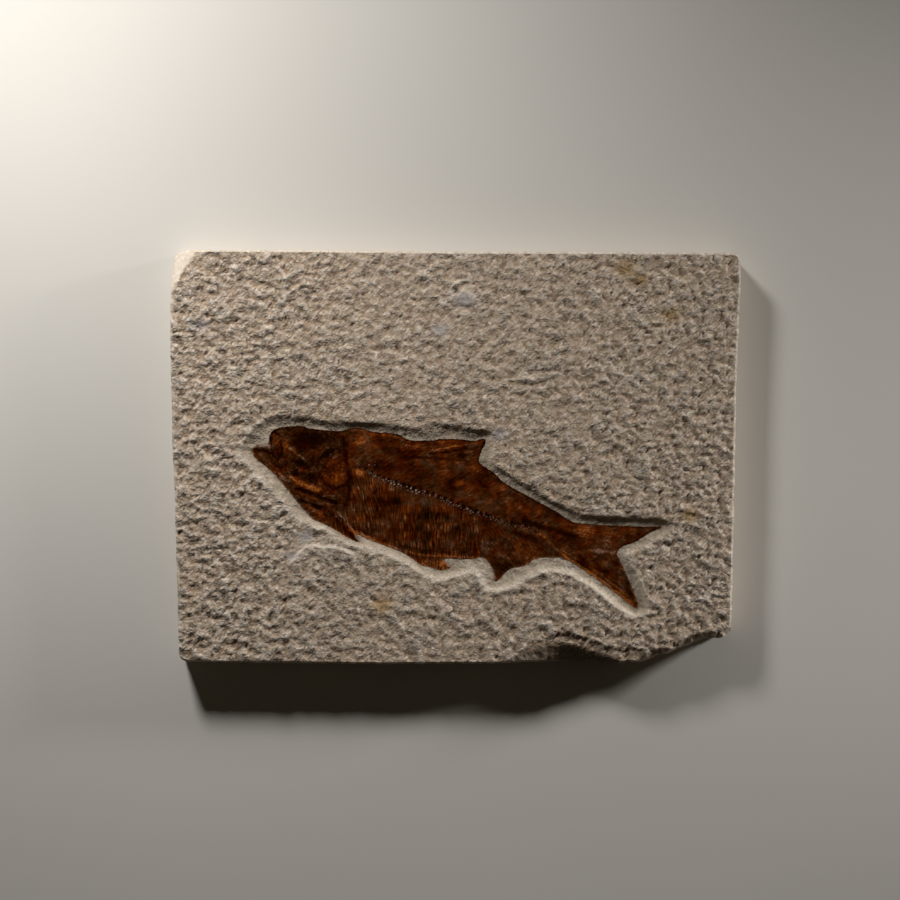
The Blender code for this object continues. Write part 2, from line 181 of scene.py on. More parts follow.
# The fish's backbone from the head on, and the edge of its head
BACKBONE = (
    (-27.9, -2.8), (-24.4, -3.3), (-22.0, -4.7), (-19.3, -6.0), (-15.0, -7.4), (-10.9, -8.9), (-6.6, -10.1),
    (-2.0, -11.9), (1.8, -13.6), (5.5, -14.9), (9.3, -16.3), (12.3, -17.6), (17.7, -18.5), (20.1, -19.1),
    (22.1, -20.9), (24.7, -22.7), (26.9, -24.1), (29.8, -27.0),
)
SHOULDER = (
    (-29.3, 7.0), (-28.8, 4.0), (-29.2, 0.5), (-28.5, -3.0), (-28.2, -6.3), (-29.0, -9.5), (-31.0, -13.0),
    (-34.0, -17.5),
)

# Bones and edges of the fish, as points, width, change of tone, change of redness and rise
LINES = {
    "upper jaw": (((-54.7, 2.6), (-52.2, 2.9), (-49.8, 2.5)), 1.3, 0.35, -0.6, 0.10),
    "mouth": (((-54.6, 1.8), (-52.2, 1.7), (-50.2, 0.9)), 0.7, -0.3, 0.0, -0.08),
    "lower jaw": (((-54.3, 0.9), (-52.3, -0.5), (-50.1, -2.4), (-47.4, -4.9)), 1.7, 0.16, 0.2, 0.08),
    "snout rim": (((-50.1, 4.5), (-49.5, 6.7), (-47.4, 7.8)), 0.9, -0.25, 0.0, -0.05),
    "cheek bar": (((-44.1, 2.1), (-40.6, -1.1)), 1.3, 0.28, 0.1, 0.10),
    "jaw bar": (((-44.4, -5.7), (-42.0, -7.1), (-39.3, -8.4), (-36.9, -9.2)), 1.7, 0.42, 0.5, 0.12),
    "jaw groove": (
        ((-43.1, -8.7), (-40.6, -9.5), (-38.5, -10.1), (-35.5, -11.4), (-32.3, -12.5)),
        1.2, -0.45, 0.0, -0.12,
    ),
    "second bar": (((-42.0, -9.8), (-38.7, -11.4), (-35.2, -12.8), (-33.1, -14.4)), 1.4, 0.16, 0.2, 0.08),
    "second groove": (((-42.0, -11.7), (-37.1, -13.8)), 0.8, -0.3, 0.0, -0.06),
    "third bar": (((-40.6, -13.0), (-36.0, -16.0)), 1.6, 0.24, 0.4, 0.06),
    "jaw joint": (((-47.6, -4.6), (-46.4, -6.0), (-45.0, -6.6)), 0.9, 0.3, -0.2, 0.06),
    "gill cover front": (((-32.8, 1.3), (-34.7, -1.4), (-36.6, -4.7)), 0.9, -0.22, 0.0, -0.08),
    "gill cover edge": (
        ((-36.9, -5.2), (-35.0, -7.6), (-32.3, -8.7), (-29.6, -7.6), (-28.5, -5.7)), 1.0, -0.32, 0.0, -0.10,
    ),
    "shoulder": (
        ((-30.4, 5.1), (-29.8, 1.8), (-29.6, -1.7), (-28.5, -5.7), (-28.8, -9.5), (-29.8, -13.0)),
        1.5, -0.34, 0.0, -0.04,
    ),
    "pectoral spine": (
        ((-33.9, -14.9), (-31.2, -18.0), (-28.8, -20.6), (-26.7, -22.6)), 1.2, -0.34, 0.0, 0.06,
    ),
    "pectoral edge": (
        ((-32.0, -14.9), (-29.8, -17.3), (-28.1, -19.6), (-26.8, -21.6)), 0.6, 0.4, -0.3, 0.06,
    ),
    "nape edge": (((-28.5, 7.2), (-25.8, 7.3), (-22.0, 6.2), (-17.7, 5.9), (-13.9, 4.6)), 0.9, 0.2, 0.2, 0.0),
    "fin ray": (((-6.6, 1.7), (-2.8, 2.2), (2.8, 3.2)), 0.5, 0.22, 0.35, 0.08),
    "fin ray rear": (((2.8, 3.2), (7.7, 4.3)), 0.6, 0.18, 0.3, 0.06),
    "fin ray dark": (((-7.0, 0.7), (-2.6, 1.2), (3.0, 2.3)), 0.7, -0.3, 0.0, -0.05),
    "fin ray front": (((-13.9, 3.2), (-9.6, 2.4), (-6.6, 1.7)), 0.5, 0.15, 0.2, 0.05),
    "fin root": (((-13.9, 0.2), (-8.6, -0.4), (-2.8, -0.6), (3.8, -1.3)), 0.8, -0.2, 0.0, -0.04),
    "belly edge": (
        ((-25.2, -21.3), (-22.5, -22.5), (-19.0, -23.8), (-16.1, -24.8), (-12.3, -26.0), (-8.2, -26.7),
         (-4.2, -26.9), (-0.1, -27.1), (4.5, -27.2)), 0.8, 0.28, 0.25, 0.06,
    ),
    "breast edge": (((-28.5, -19.8), (-26.0, -20.9), (-22.3, -22.4)), 1.2, 0.4, 0.3, 0.05),
    "belly keel": (
        ((-26.0, -20.0), (-19.0, -22.6), (-12.0, -24.8), (-4.0, -25.9), (3.0, -26.0)), 0.6, -0.12, 0.0, -0.04,
    ),
    "tail edge": (
        ((29.8, -27.2), (33.6, -29.5), (39.0, -33.2), (43.9, -36.9), (48.2, -40.2)), 0.7, 0.3, 0.5, 0.04,
    ),
    "tail ray": (
        ((28.8, -25.4), (34.2, -28.4), (39.6, -32.2), (44.4, -35.9), (48.5, -39.2)), 0.4, 0.2, 0.4, 0.03,
    ),
    "tail stem": (((22.0, -20.3), (25.0, -22.9), (30.1, -27.6)), 0.9, 0.22, 0.4, 0.06),
    "snout ring": (
        ((-49.9, 4.4), (-49.8, 2.4), (-49.2, 0.2), (-48.0, -0.8), (-47.0, 0.3), (-46.8, 2.4), (-47.4, 4.2)),
        0.6, -0.35, -0.2, -0.05,
    ),
    "snout arc": (((-50.3, 6.2), (-49.0, 6.6), (-47.6, 5.9)), 0.7, -0.4, 0.0, -0.04),
    "gill crack": (((-38.4, -9.9), (-36.6, -10.9), (-34.6, -10.4), (-32.4, -10.6)), 0.4, 0.4, -0.3, 0.03),
    "throat gap": (((-38.5, -13.2), (-36.5, -13.7)), 1.0, -0.6, 0.0, -0.06),
    "fork edge": (((36.3, -25.4), (39.6, -25.6), (43.1, -25.9)), 1.3, 0.34, 0.1, 0.04),
    "anal edge": (((7.5, -27.6), (9.2, -30.0), (10.1, -32.6)), 0.7, 0.35, 0.5, 0.04),
    "upper band": (
        ((18.5, -17.4), (21.5, -18.2), (25.0, -19.5), (28.2, -20.3), (32.5, -21.6)), 1.7, -0.4, 0.0, -0.06,
    ),
    "lower band": (((15.8, -20.3), (18.5, -21.3), (21.9, -22.6)), 2.2, -0.3, 0.0, -0.04),
}

# Stains and bone plates of the fish, as middle, radii, angle, change of tone, change of redness and rise
OVALS = {
    "snout bone": ((-48.7, 4.3), (1.2, 1.6), 0, 0.2, 0.5, 0.05),
    "snout hollow": ((-47.7, 1.6), (1.4, 1.6), 0, -0.28, 0.0, -0.05),
    "before the eye": ((-45.8, 2.6), (0.9, 3.0), 0, 0.16, 0.5, 0.05),
    "skull": ((-37.0, 5.0), (9.0, 3.4), -4, -0.20, -0.1, -0.04),
    "eye socket": ((-40.9, 3.7), (4.2, 3.2), -10, -0.5, 0.0, -0.14),
    "eye socket back": ((-37.7, 4.5), (3.0, 2.5), 0, -0.24, 0.0, -0.06),
    "behind the eye": ((-34.4, 2.9), (2.6, 1.6), 0, 0.15, -0.2, 0.05),
    "ear bone": ((-34.9, 0.8), (2.6, 1.0), 35, -0.9, -0.9, -0.06),
    "ear rim": ((-32.5, 0.5), (1.0, 1.6), 0, 0.24, -0.2, 0.05),
    "cheek bone": ((-41.4, -3.4), (1.6, 1.3), 0, 0.24, 0.5, 0.04),
    "cheek spot": ((-43.3, -4.3), (1.3, 1.2), 0, -0.44, -0.5, -0.04),
    "cheek shadow": ((-39.0, -5.5), (2.4, 1.5), -20, -0.5, 0.0, -0.08),
    "under the cheek bar": ((-41.6, -1.9), (3.2, 1.1), -20, -0.6, 0.0, -0.06),
    "behind the cheek": ((-37.6, -0.6), (2.4, 2.4), 0, -0.2, 0.1, 0.0),
    "gill cover": ((-32.8, -4.1), (5.0, 6.0), -30, 0.04, 0.5, 0.10),
    "gill cover glow": ((-32.4, -6.0), (3.2, 2.0), 35, 0.16, 0.4, 0.05),
    "nape": ((-26.7, 3.7), (1.3, 0.8), 0, 0.22, 0.3, 0.04),
    "nape rear": ((-23.6, 3.4), (4.2, 2.0), -8, 0.02, 0.2, 0.03),
    "upper back": ((-15.0, 1.8), (8.0, 2.6), -14, -0.22, 0.0, 0.02),
    "first ribs": ((-25.8, -4.1), (2.1, 1.3), -10, 0.6, 0.8, 0.06),
    "dark flank": ((-15.9, -12.5), (1.5, 1.9), 10, -0.35, -0.3, 0.0),
    "dark flank rear": ((-6.6, -15.6), (5.6, 1.7), -4, -0.3, -0.3, 0.0),
    "pale flank": ((-7.4, -12.6), (2.8, 1.7), -20, 0.08, -0.4, 0.02),
    "belly stain": ((-10.0, -19.5), (3.6, 4.4), 0, -0.2, 0.0, 0.0),
    "belly stain rear": ((0.5, -19.8), (2.6, 1.8), 0, -0.3, -0.2, 0.0),
    "rear stain": ((4.6, -23.6), (2.2, 3.8), 0, -0.2, 0.0, 0.0),
    "fin front": ((-12.2, 1.7), (3.8, 2.8), -10, 0.0, 0.2, 0.03),
    "fin patch": ((1.8, 0.4), (1.6, 1.3), -10, -0.45, -0.3, -0.03),
    "fin glow": ((-1.5, 3.8), (7.0, 1.2), 4, 0.04, 0.3, 0.0),
    "oval stain": ((-0.3, -7.6), (4.2, 2.7), 16, -0.34, 0.0, -0.03),
    "oval glow": ((0.9, -7.2), (2.2, 1.2), 16, 0.55, 0.6, 0.03),
    "dark nape": ((-19.0, -2.4), (7.2, 2.7), -14, -0.24, 0.1, 0.0),
    "dark back": ((-10.6, -4.4), (5.0, 3.2), -14, -0.22, 0.1, 0.0),
    "rear back": ((7.2, -6.0), (2.6, 2.4), -30, -0.22, 0.2, 0.0),
    "flank glow": ((-11.2, -20.5), (3.6, 3.6), 0, 0.0, 0.1, 0.0),
    "hind speckle": ((8.4, -24.0), (3.0, 3.4), 0, 0.1, -0.3, 0.02),
    "tail stain": ((34.8, -28.9), (2.6, 1.4), -35, -0.4, 0.0, -0.03),
    "front flank": ((-19.5, -13.5), (7.0, 4.5), -20, -0.16, 0.0, 0.0),
    "tail root": ((31.0, -22.6), (5.0, 2.6), -20, -0.3, 0.0, 0.0),
    "tail glow": ((36.0, -20.4), (5.0, 1.6), -4, 0.1, 0.2, 0.0),
    "lobe stain": ((39.6, -30.0), (4.6, 1.3), -40, -0.22, 0.0, 0.0),
    "lobe tip stain": ((47.2, -36.8), (2.6, 1.2), -60, -0.2, 0.0, 0.0),
    "anal fin": ((12.4, -30.0), (3.6, 2.6), -40, -0.25, 0.0, 0.0),
    "pelvic fin": ((-6.0, -28.9), (6.0, 1.4), -12, 0.22, 0.2, 0.0),
    "hind belly": ((20.0, -25.6), (4.0, 1.6), 0, 0.14, 0.1, 0.0),
}

# Places where pale calcite grains and painted glints show, as middle, radii and amount
GRAINS_AND_GLINTS = (
    ((-31.6, -14.8), (2.2, 2.6), 0.9), ((-46.0, -5.2), (1.6, 1.0), 0.9), ((-30.6, -2.6), (1.6, 1.4), 1.0),
    ((-33.6, 0.4), (1.4, 1.0), 0.6), ((-41.2, 1.4), (0.45, 0.45), 3.0), ((-24.0, -1.6), (5.0, 1.6), 0.7),
    ((-11.0, -23.6), (2.6, 1.6), 0.9), ((9.2, -24.5), (1.6, 2.4), 0.6), ((18.0, -19.0), (4.0, 1.2), 0.9),
    ((21.8, -20.4), (1.8, 0.9), 1.2), ((-6.0, 2.2), (2.4, 0.8), 0.9), ((-13.0, 2.6), (3.0, 1.2), 0.5),
    ((-51.6, 2.7), (3.0, 0.7), 0.5), ((-28.6, -17.6), (1.8, 1.2), 0.5),
)

# Linear tints of the fish's colour where it is least and most red
PURPLE_TINT = (0.72, 1.05, 2.15, 1.0)
ORANGE_TINT = (1.34, 0.86, 0.32, 1.0)

# The point of the face under the camera in millimetres, and in metres each lamp's place, the point of the
# face that it lights, its size and its spread in degrees
VIEW_MIDDLE = (-1.485, 1.82)
LAMPS = {
    "left": ((-0.180, 0.330, 0.222), (-0.120, 0.095), 0.09, 83.0),
    "right": ((0.486, 0.194, 0.120), (0.120, -0.063), 0.08, 65.0),
}
LAMP_COLOUR = (1.0, 0.975, 0.945)
ROOM_COLOUR = (1.0, 0.80, 0.52, 1.0)


# Shapes worked out for many points at once

def ease(value):
    """0 below 0, 1 above 1 and a smooth rise between them."""
    t = np.clip(value, 0.0, 1.0)
    return t * t * (3.0 - 2.0 * t)


def waves(x, y, seed):
    """Random smooth waves about one unit long, mostly between -1 and 1 and the same each run."""
    turns = np.random.default_rng(seed).random((256, 256)) * math.tau
    column, row = np.floor(x).astype(int), np.floor(y).astype(int)
    fx, fy = x - column, y - row

    def slope(i, j):
        turn = turns[(column + i) % 256, (row + j) % 256]
        return np.cos(turn) * (fx - i) + np.sin(turn) * (fy - j)

    sx, sy = ease(fx), ease(fy)
    low = slope(0, 0) * (1.0 - sx) + slope(1, 0) * sx
    high = slope(0, 1) * (1.0 - sx) + slope(1, 1) * sx
    return 1.5 * (low * (1.0 - sy) + high * sy)


def turned(x, y, degrees, middle=(0.0, 0.0)):
    """Coordinates along and across a direction at this angle."""
    c, s = math.cos(math.radians(degrees)), math.sin(math.radians(degrees))
    x, y = x - middle[0], y - middle[1]
    return x * c + y * s, y * c - x * s


def streaks(x, y, degrees, length, width, seed):
    """Waves drawn out along a direction."""
    along, across = turned(x, y, degrees)
    return waves(along / length, across / width, seed)


def line_steps(x, y, line):
    """For each step of a line, how far along and away from it each point is, with its start and its way."""
    for (ax, ay), (bx, by) in zip(line[:-1], line[1:]):
        dx, dy = bx - ax, by - ay
        t = np.clip(((x - ax) * dx + (y - ay) * dy) / (dx * dx + dy * dy), 0.0, 1.0)
        yield t, np.hypot(x - ax - t * dx, y - ay - t * dy), (ax, ay), (dx, dy)


def along_line(x, y, line):
    """For each point, its distance from a line, how far along the line that is, and the side it is on."""
    best = np.full(x.shape, np.inf)
    run, side = np.zeros(x.shape), np.zeros(x.shape)
    before = 0.0
    for t, away, (ax, ay), (dx, dy) in line_steps(x, y, line):
        length = math.hypot(dx, dy)
        near = away < best
        best = np.where(near, away, best)
        run = np.where(near, before + t * length, run)
        side = np.where(near, np.sign((y - ay) * dx - (x - ax) * dy), side)
        before += length
    return best, run, side


def nearest_on(x, y, loop):
    """The nearest point of a closed loop to each point."""
    best = np.full(x.shape, np.inf)
    near_x, near_y = np.zeros(x.shape), np.zeros(x.shape)
    for t, away, (ax, ay), (dx, dy) in line_steps(x, y, closed(loop)):
        near = away < best
        best = np.where(near, away, best)
        near_x, near_y = np.where(near, ax + t * dx, near_x), np.where(near, ay + t * dy, near_y)
    return near_x, near_y


def inside(x, y, loop):
    """True where a point is inside a closed loop."""
    odd = np.zeros(x.shape, bool)
    for (ax, ay), (bx, by) in zip(loop, np.roll(loop, -1, 0)):
        if ay != by:
            spans = (ay > y) != (by > y)
            odd ^= spans & (x < ax + (bx - ax) * (y - ay) / (by - ay))
    return odd


def closed(loop):
    """A loop as a line that ends where it began."""
    return np.vstack([loop, loop[:1]])


def closed_curve(points, steps):
    """Points along a smooth closed curve through these, with this many steps from one to the next."""
    p = np.array(points, float)
    before, after, beyond = np.roll(p, 1, 0), np.roll(p, -1, 0), np.roll(p, -2, 0)
    t = (np.arange(steps) / steps)[:, None, None]
    rows = 0.5 * (
        2 * p
        + (after - before) * t
        + (2 * before - 5 * p + 4 * after - beyond) * t**2
        + (3 * p - before - 3 * after + beyond) * t**3
    )
    return rows.transpose(1, 0, 2).reshape(-1, 2)


def even_loop(points, spacing):
    """The same closed outline with a point at every step of about this length."""
    line = closed(np.array(points, float))
    run = np.concatenate([[0.0], np.cumsum(np.hypot(*np.diff(line, axis=0).T))])
    places = np.linspace(0.0, run[-1], round(run[-1] / spacing), endpoint=False)
    return np.stack([np.interp(places, run, line[:, 0]), np.interp(places, run, line[:, 1])], axis=1)


def outwards(loop):
    """The outward direction at each point of a clockwise loop."""
    along = np.roll(loop, -1, 0) - np.roll(loop, 1, 0)
    along /= np.linalg.norm(along, axis=1, keepdims=True)
    return np.stack([-along[:, 1], along[:, 0]], axis=1)


def ragged(loop, depth, length, seed):
    """A loop pushed in and out at random by up to about this depth."""
    push = depth * waves(loop[:, 0] / length, loop[:, 1] / length, seed)
    return loop + push[:, None] * outwards(loop)


def patch(x, y, middle, radii, degrees=0.0):
    """1 at the middle of an oval, falling smoothly to 0 at its edge."""
    along, across = turned(x, y, degrees, middle)
    return ease(1.0 - np.hypot(along / radii[0], across / radii[1]))


def stroke(x, y, line, width):
    """1 on a line, falling smoothly to 0 at half this width from it."""
    return ease(1.0 - 2.0 * along_line(x, y, line)[0] / width)


# Nets of small cells that become the pieces

def net_inside(loop, cell, degrees):
    """A flat net of square cells that fills a closed outline, with its border drawn onto the outline."""
    along, across = turned(loop[:, 0], loop[:, 1], degrees)
    low, high = Vector((along.min(), across.min())), Vector((along.max(), across.max()))
    size, middle = high - low, (low + high) / 2.0
    turn = Matrix.Rotation(math.radians(degrees), 4, "Z")
    place = turn @ Matrix.Translation((*middle, 0.0)) @ Matrix.Diagonal((*size, 1.0, 1.0))
    net = bmesh.new()
    columns, rows = math.ceil(size.x / cell), math.ceil(size.y / cell)
    bmesh.ops.create_grid(net, x_segments=columns, y_segments=rows, size=0.5, matrix=place)

    centres = np.array([face.calc_center_median()[:2] for face in net.faces])
    kept = inside(centres[:, 0], centres[:, 1], loop)
    stray = [face for face, keep in zip(net.faces, kept) if not keep]
    while stray:
        bmesh.ops.delete(net, geom=stray, context="FACES")
        pinched = [v for v in net.verts if sum(e.is_boundary for e in v.link_edges) > 2]
        stray = list({face for v in pinched for face in v.link_faces})
    keep_largest(net)

    # The border is evened out and drawn onto the outline, and three rows of cells behind it follow
    border = [v for v in net.verts if v.is_boundary]
    ring = set(border)
    for _ in range(3):
        ring |= {e.other_vert(v) for v in ring for e in v.link_edges}
    inner = [v for v in ring if not v.is_boundary]
    for _ in range(4):
        steps = [[e.other_vert(v).co for e in v.link_edges if e.is_boundary] for v in border]
        spots = np.array([(v.co * 2.0 + a + b)[:2] for v, (a, b) in zip(border, steps)]) / 4.0
        for v, x, y in zip(border, *nearest_on(spots[:, 0], spots[:, 1], loop)):
            v.co.xy = x, y
        bmesh.ops.smooth_vert(net, verts=inner, factor=0.5, use_axis_x=True, use_axis_y=True)
    return net


def keep_largest(net):
    """Deletes all but the largest connected part of a net."""
    left, parts = set(net.verts), []
    while left:
        part, front = set(), [left.pop()]
        while front:
            v = front.pop()
            part.add(v)
            fresh = {e.other_vert(v) for e in v.link_edges} & left
            left -= fresh
            front.extend(fresh)
        parts.append(part)
    parts.sort(key=len)
    for part in parts[:-1]:
        bmesh.ops.delete(net, geom=list(part), context="VERTS")


def draw_down(net, rings):
    """Draws the net's border down into rings of side faces, numbered in a layer, and closes the bottom."""
    number = net.verts.layers.int.new("ring")
    border = [e for e in net.edges if e.is_boundary]
    for ring in range(1, rings + 1):
        if ring < 3:
            for e in border:
                e.smooth = False
        made = bmesh.ops.extrude_edge_only(net, edges=border)["geom"]
        border = [e for e in made if isinstance(e, bmesh.types.BMEdge) and e.is_boundary]
        for v in made:
            if isinstance(v, bmesh.types.BMVert):
                v[number] = ring
                v.co.z = -ring
    bmesh.ops.edgeloop_fill(net, edges=border)
    bmesh.ops.recalc_face_normals(net, faces=net.faces)
    for face in net.faces:
        face.smooth = len(face.verts) == 4


def piece_from(name, net):
    """A mesh object from a net, with its points in millimetres and their ring numbers."""
    mesh = bpy.data.meshes.new(name)
    net.to_mesh(mesh)
    net.free()
    piece = bpy.data.objects.new(name, mesh)
    bpy.context.scene.collection.objects.link(piece)
    points = np.empty(len(mesh.vertices) * 3)
    mesh.vertices.foreach_get("co", points)
    ring = np.empty(len(mesh.vertices), int)
    mesh.attributes["ring"].data.foreach_get("value", ring)
    mesh.attributes.remove(mesh.attributes["ring"])
    return piece, points.reshape(-1, 3), ring


def finish_piece(piece, points, marks, material, node):
    """Sets a piece's points and the marks that its material reads, and lets it stand for its CAD node."""
    mesh = piece.data
    mesh.vertices.foreach_set("co", (points * MM).ravel())
    for name, values in marks.items():
        mesh.attributes.new(name, "FLOAT", "POINT").data.foreach_set("value", values)
    mesh.materials.append(material)
    mesh.update()
    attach(piece, "root")
    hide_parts(node)


# The slab

def seeds_near(x, y, size, seed, draws):
    """The seed points around each place, as the way from each in cells and the random numbers it holds."""
    dice = np.random.default_rng(seed).random((2 + draws, 256, 256))
    u, v = x / size, y / size
    column, row = np.floor(u).astype(int), np.floor(v).astype(int)
    for i in (-1, 0, 1):
        for j in (-1, 0, 1):
            across, up, *held = dice[:, (column + i) % 256, (row + j) % 256]
            yield u - column - i - across, v - row - j - up, held


def facets(x, y, size, seed):
    """Heights of flat chips about this wide, each tilted its own way and broken off at its upper side."""
    nearest, height = np.full(x.shape, np.inf), np.zeros(x.shape)
    for du, dv, (turn, lift) in seeds_near(x, y, size, seed, 2):
        away = du * du + dv * dv
        tilt = 0.9 * (np.cos(turn * math.tau) * du + np.sin(turn * math.tau) * dv) + 0.35 * dv
        near = away < nearest
        nearest, height = np.where(near, away, nearest), np.where(near, tilt + 0.6 * (lift - 0.5), height)
    return height


def crumbs(x, y, size, seed):
    """Heights of rounded crumbs about this wide that meet in creases."""
    height = np.full(x.shape, -np.inf)
    for du, dv, (lift,) in seeds_near(x, y, size, seed, 1):
        height = np.maximum(height, 0.6 * lift - (du**2 + dv**2))
    return height


def pecked(x, y):
    """Height of the hand-pecked face: low lumps with small steps at their upper sides, crumbs and chips."""
    u = x + 0.4 * waves(x / 1.9, y / 1.9, 101) + 0.25 * waves(x / 0.8, y / 0.8, 102)
    v = y + 0.4 * waves(x / 1.9, y / 1.9, 103) + 0.25 * waves(x / 0.8, y / 0.8, 104)
    lump = 0.42 * waves(u / 2.8, v / 2.5, 106) + 0.3 * waves(u / 1.5, v / 1.35, 107)
    steps = (lump - 0.1 * v) / STEP_HEIGHT
    tread = STEP_HEIGHT * (np.floor(steps) + ease(4.0 * (steps % 1.0) - 1.5)) + 0.1 * v
    low = 0.14 * lump + 0.54 * tread + 0.32 * crumbs(u, v, 2.3, 108)
    fine = 0.16 * crumbs(u + 3.0, v, 1.3, 109) + 0.14 * facets(u, v, 1.6, 110)
    fine -= 0.26 * ease((waves(u / 1.3, v / 1.1, 111) - 0.45) / 0.2)

    # The face is coarser towards both ends
    left, right = ease((-20.0 - x) / 40.0), ease((x - 20.0) / 40.0)
    low *= 1.0 + 0.25 * left + 0.05 * right
    fine *= 0.9 + 0.2 * waves(x / 9.0, y / 8.0, 112) + 0.45 * right + 0.5 * left
    return 0.05 * waves(x / 8.0, y / 6.0, 105) + low + fine


def face_relief(x, y, edge, relief):
    """Height of the face with its small damage, its crests, how even the stone is, and the painted highlight
    on the flake's ridge and the shell's lip.
    """
    away, run, side = along_line(x, y, FLAKE_RIDGE)
    smooth = patch(x, y, (2.8, 43.6), (4.4, 4.0)) + patch(x, y, (-1.5, 33.9), (4.6, 3.6))
    smooth += 0.5 * np.exp(-away / 1.0) + 0.7 * (side < 0.0) * np.exp(-away / 3.5)
    lumps = pecked(x, y)
    around = sum(pecked(x + a, y + b) for a, b in ((0.45, 0.0), (-0.45, 0.0), (0.0, 0.45), (0.0, -0.45)))
    crest = lumps - around / 4.0
    lumps = relief * (lumps - lumps.mean()) * (1.0 - 0.8 * np.minimum(smooth, 1.0))

    # The mould of a shell with its lip, and a pit and a crack at the left edge
    shell = np.hypot((x - 2.8) / 3.2, (y - 42.9) / 2.6) + 0.12 * waves(x / 1.5, y / 1.5, 113)
    lumps += 0.4 * ease((1.0 - shell) / 0.4) + 0.45 * stroke(x, y, SHELL_LIP, 1.3)
    lumps -= 0.5 * patch(x, y, (-69.0, 35.6), (2.6, 1.9), 20)
    lumps *= 0.4 + 0.6 * ease(edge / 1.2)
    lumps -= 0.6 * stroke(x, y, EDGE_CRACK, 1.2) - 0.3 * patch(x, y, (-71.0, 36.8), (4.5, 2.2), -15)

    # The ledge above the scoop and the broken bottom right corner
    shelf = np.interp(x, *zip(*SCOOP_LEDGE), left=-99.0, right=-99.0) - y + 0.5 * waves(x / 1.5, y / 1.5, 114)
    lumps -= np.interp(x, (23.0, 27.0, 44.0, 55.0), (0.0, 0.6, 0.5, 0.1)) * ease(shelf / 0.3)
    broken = ease((x - 48.0) / 6.0) * ease((-43.0 - y) / 3.0)
    lumps -= broken * (0.9 + 0.5 * waves(x / 1.8, y / 1.8, 115)) * ease(1.0 - edge / 2.2)

    # The flake's facet, and its ridge, which is low at both ends
    facet = ease(1.6 * patch(x, y, *FLAKE_FACET)) * ease(0.5 + side * away / 0.4)
    lumps = lumps * (1.0 - 0.85 * facet) - 0.25 * facet
    ends = ease(run / 2.0) * ease((run.max() - run) / 2.0)
    lumps += FLAKE_STEP * ends * ease(0.5 - side * away / 0.4) * np.exp(-away / 3.5)
    # Painted highlight along the flake's ridge and the shell's lip
    fresh = np.maximum(0.9 * ends * stroke(x, y, FLAKE_RIDGE, 1.1), 1.2 * stroke(x, y, SHELL_LIP, 1.4))
    return lumps, crest, 0.6 * smooth + 0.6 * facet, fresh


def cut_hollow(x, y, lumps):
    """Height of the face with the hollow in it, the way up the hollow's wall, a painted highlight on the
    lower wall and a darker band at that wall's foot.
    """
    fish = closed_curve(FISH_OUTLINE, 3)
    rim = ragged(ragged(closed_curve(HOLLOW_RIM, 3), 0.3, 2.4, 121), 0.25, 0.8, 127)
    in_fish, in_rim = inside(x, y, fish), inside(x, y, rim)
    to_fish, to_rim = along_line(x, y, closed(fish))[0], along_line(x, y, closed(rim))[0]
    climb = np.where(in_fish, 0.0, np.where(in_rim, to_fish / (to_fish + to_rim + 1e-6), 1.0))
    above = y > -13.0 - 0.28 * x
    near_rim = np.where(in_rim, 1.0, np.exp(-to_rim / 0.9))
    top = FACE_LEVEL + lumps * (1.0 - 0.4 * near_rim) + np.where(above, -0.05, 0.20) * near_rim

    # The wall is a bowl, steepest at its rim, but half way up it at the throat
    late = np.where(above, 1.0, ease((x + 40.0) / 45.0))
    first = np.where(
        above, np.interp(x, (-14.0, -8.0), (0.15, 0.0)), np.interp(x, (-20.0, 5.0), (0.15, 0.1)),
    )
    steep = np.where(
        above, np.interp(x, (-4.0, 0.0, 32.0, 40.0), (2.0, 3.4, 3.4, 2.4)),
        np.interp(x, (-20.0, 5.0), (2.0, 3.2)),
    )
    wall = first * climb + (1.0 - first) * (late * climb**steep + (1.0 - late) * ease(climb))

    # The floor is scraped unevenly and less deeply above the back's fin and by the breast's fin
    uneven = 0.12 * waves(x / 2.5, y / 2.5, 122) + 0.09 * waves(x / 0.9, y / 0.9, 123)
    uneven *= np.where(in_fish, 0.2, 0.3 + 0.9 * ease(to_fish / 1.2))
    by_fin = patch(x, y, (-31.0, -21.5), (7.0, 3.4), -28.0)
    shallow = 0.6 * patch(x, y, (-7.0, 6.9), (4.6, 2.5)) + 0.35 * by_fin
    floor = FLOOR_LEVEL - 0.05 + shallow * (1.0 - in_fish) + uneven
    z = floor + (top - floor) * wall
    z -= BED_DEPTH * ease((to_fish - 0.3) / 0.9) * in_fish

    # The lower wall, which faces the lamps, gets a painted highlight growing towards its rim, and is darker
    # at its foot
    wall_streaks = 1.0 + 0.5 * waves(x / 0.5, y / 1.7, 130)
    fresh = np.where(in_rim, (0.05 + 0.78 * climb**3) * wall_streaks, np.exp(-to_rim / 0.5))
    fresh = np.where(above | (climb <= 0.0), 0.0, fresh)
    dark_foot = 0.35 * (1.0 - climb) * ~above * (np.interp(x, (-16.0, -4.0), (1.0, 0.2)) + by_fin)
    return z, climb, fresh, dark_foot


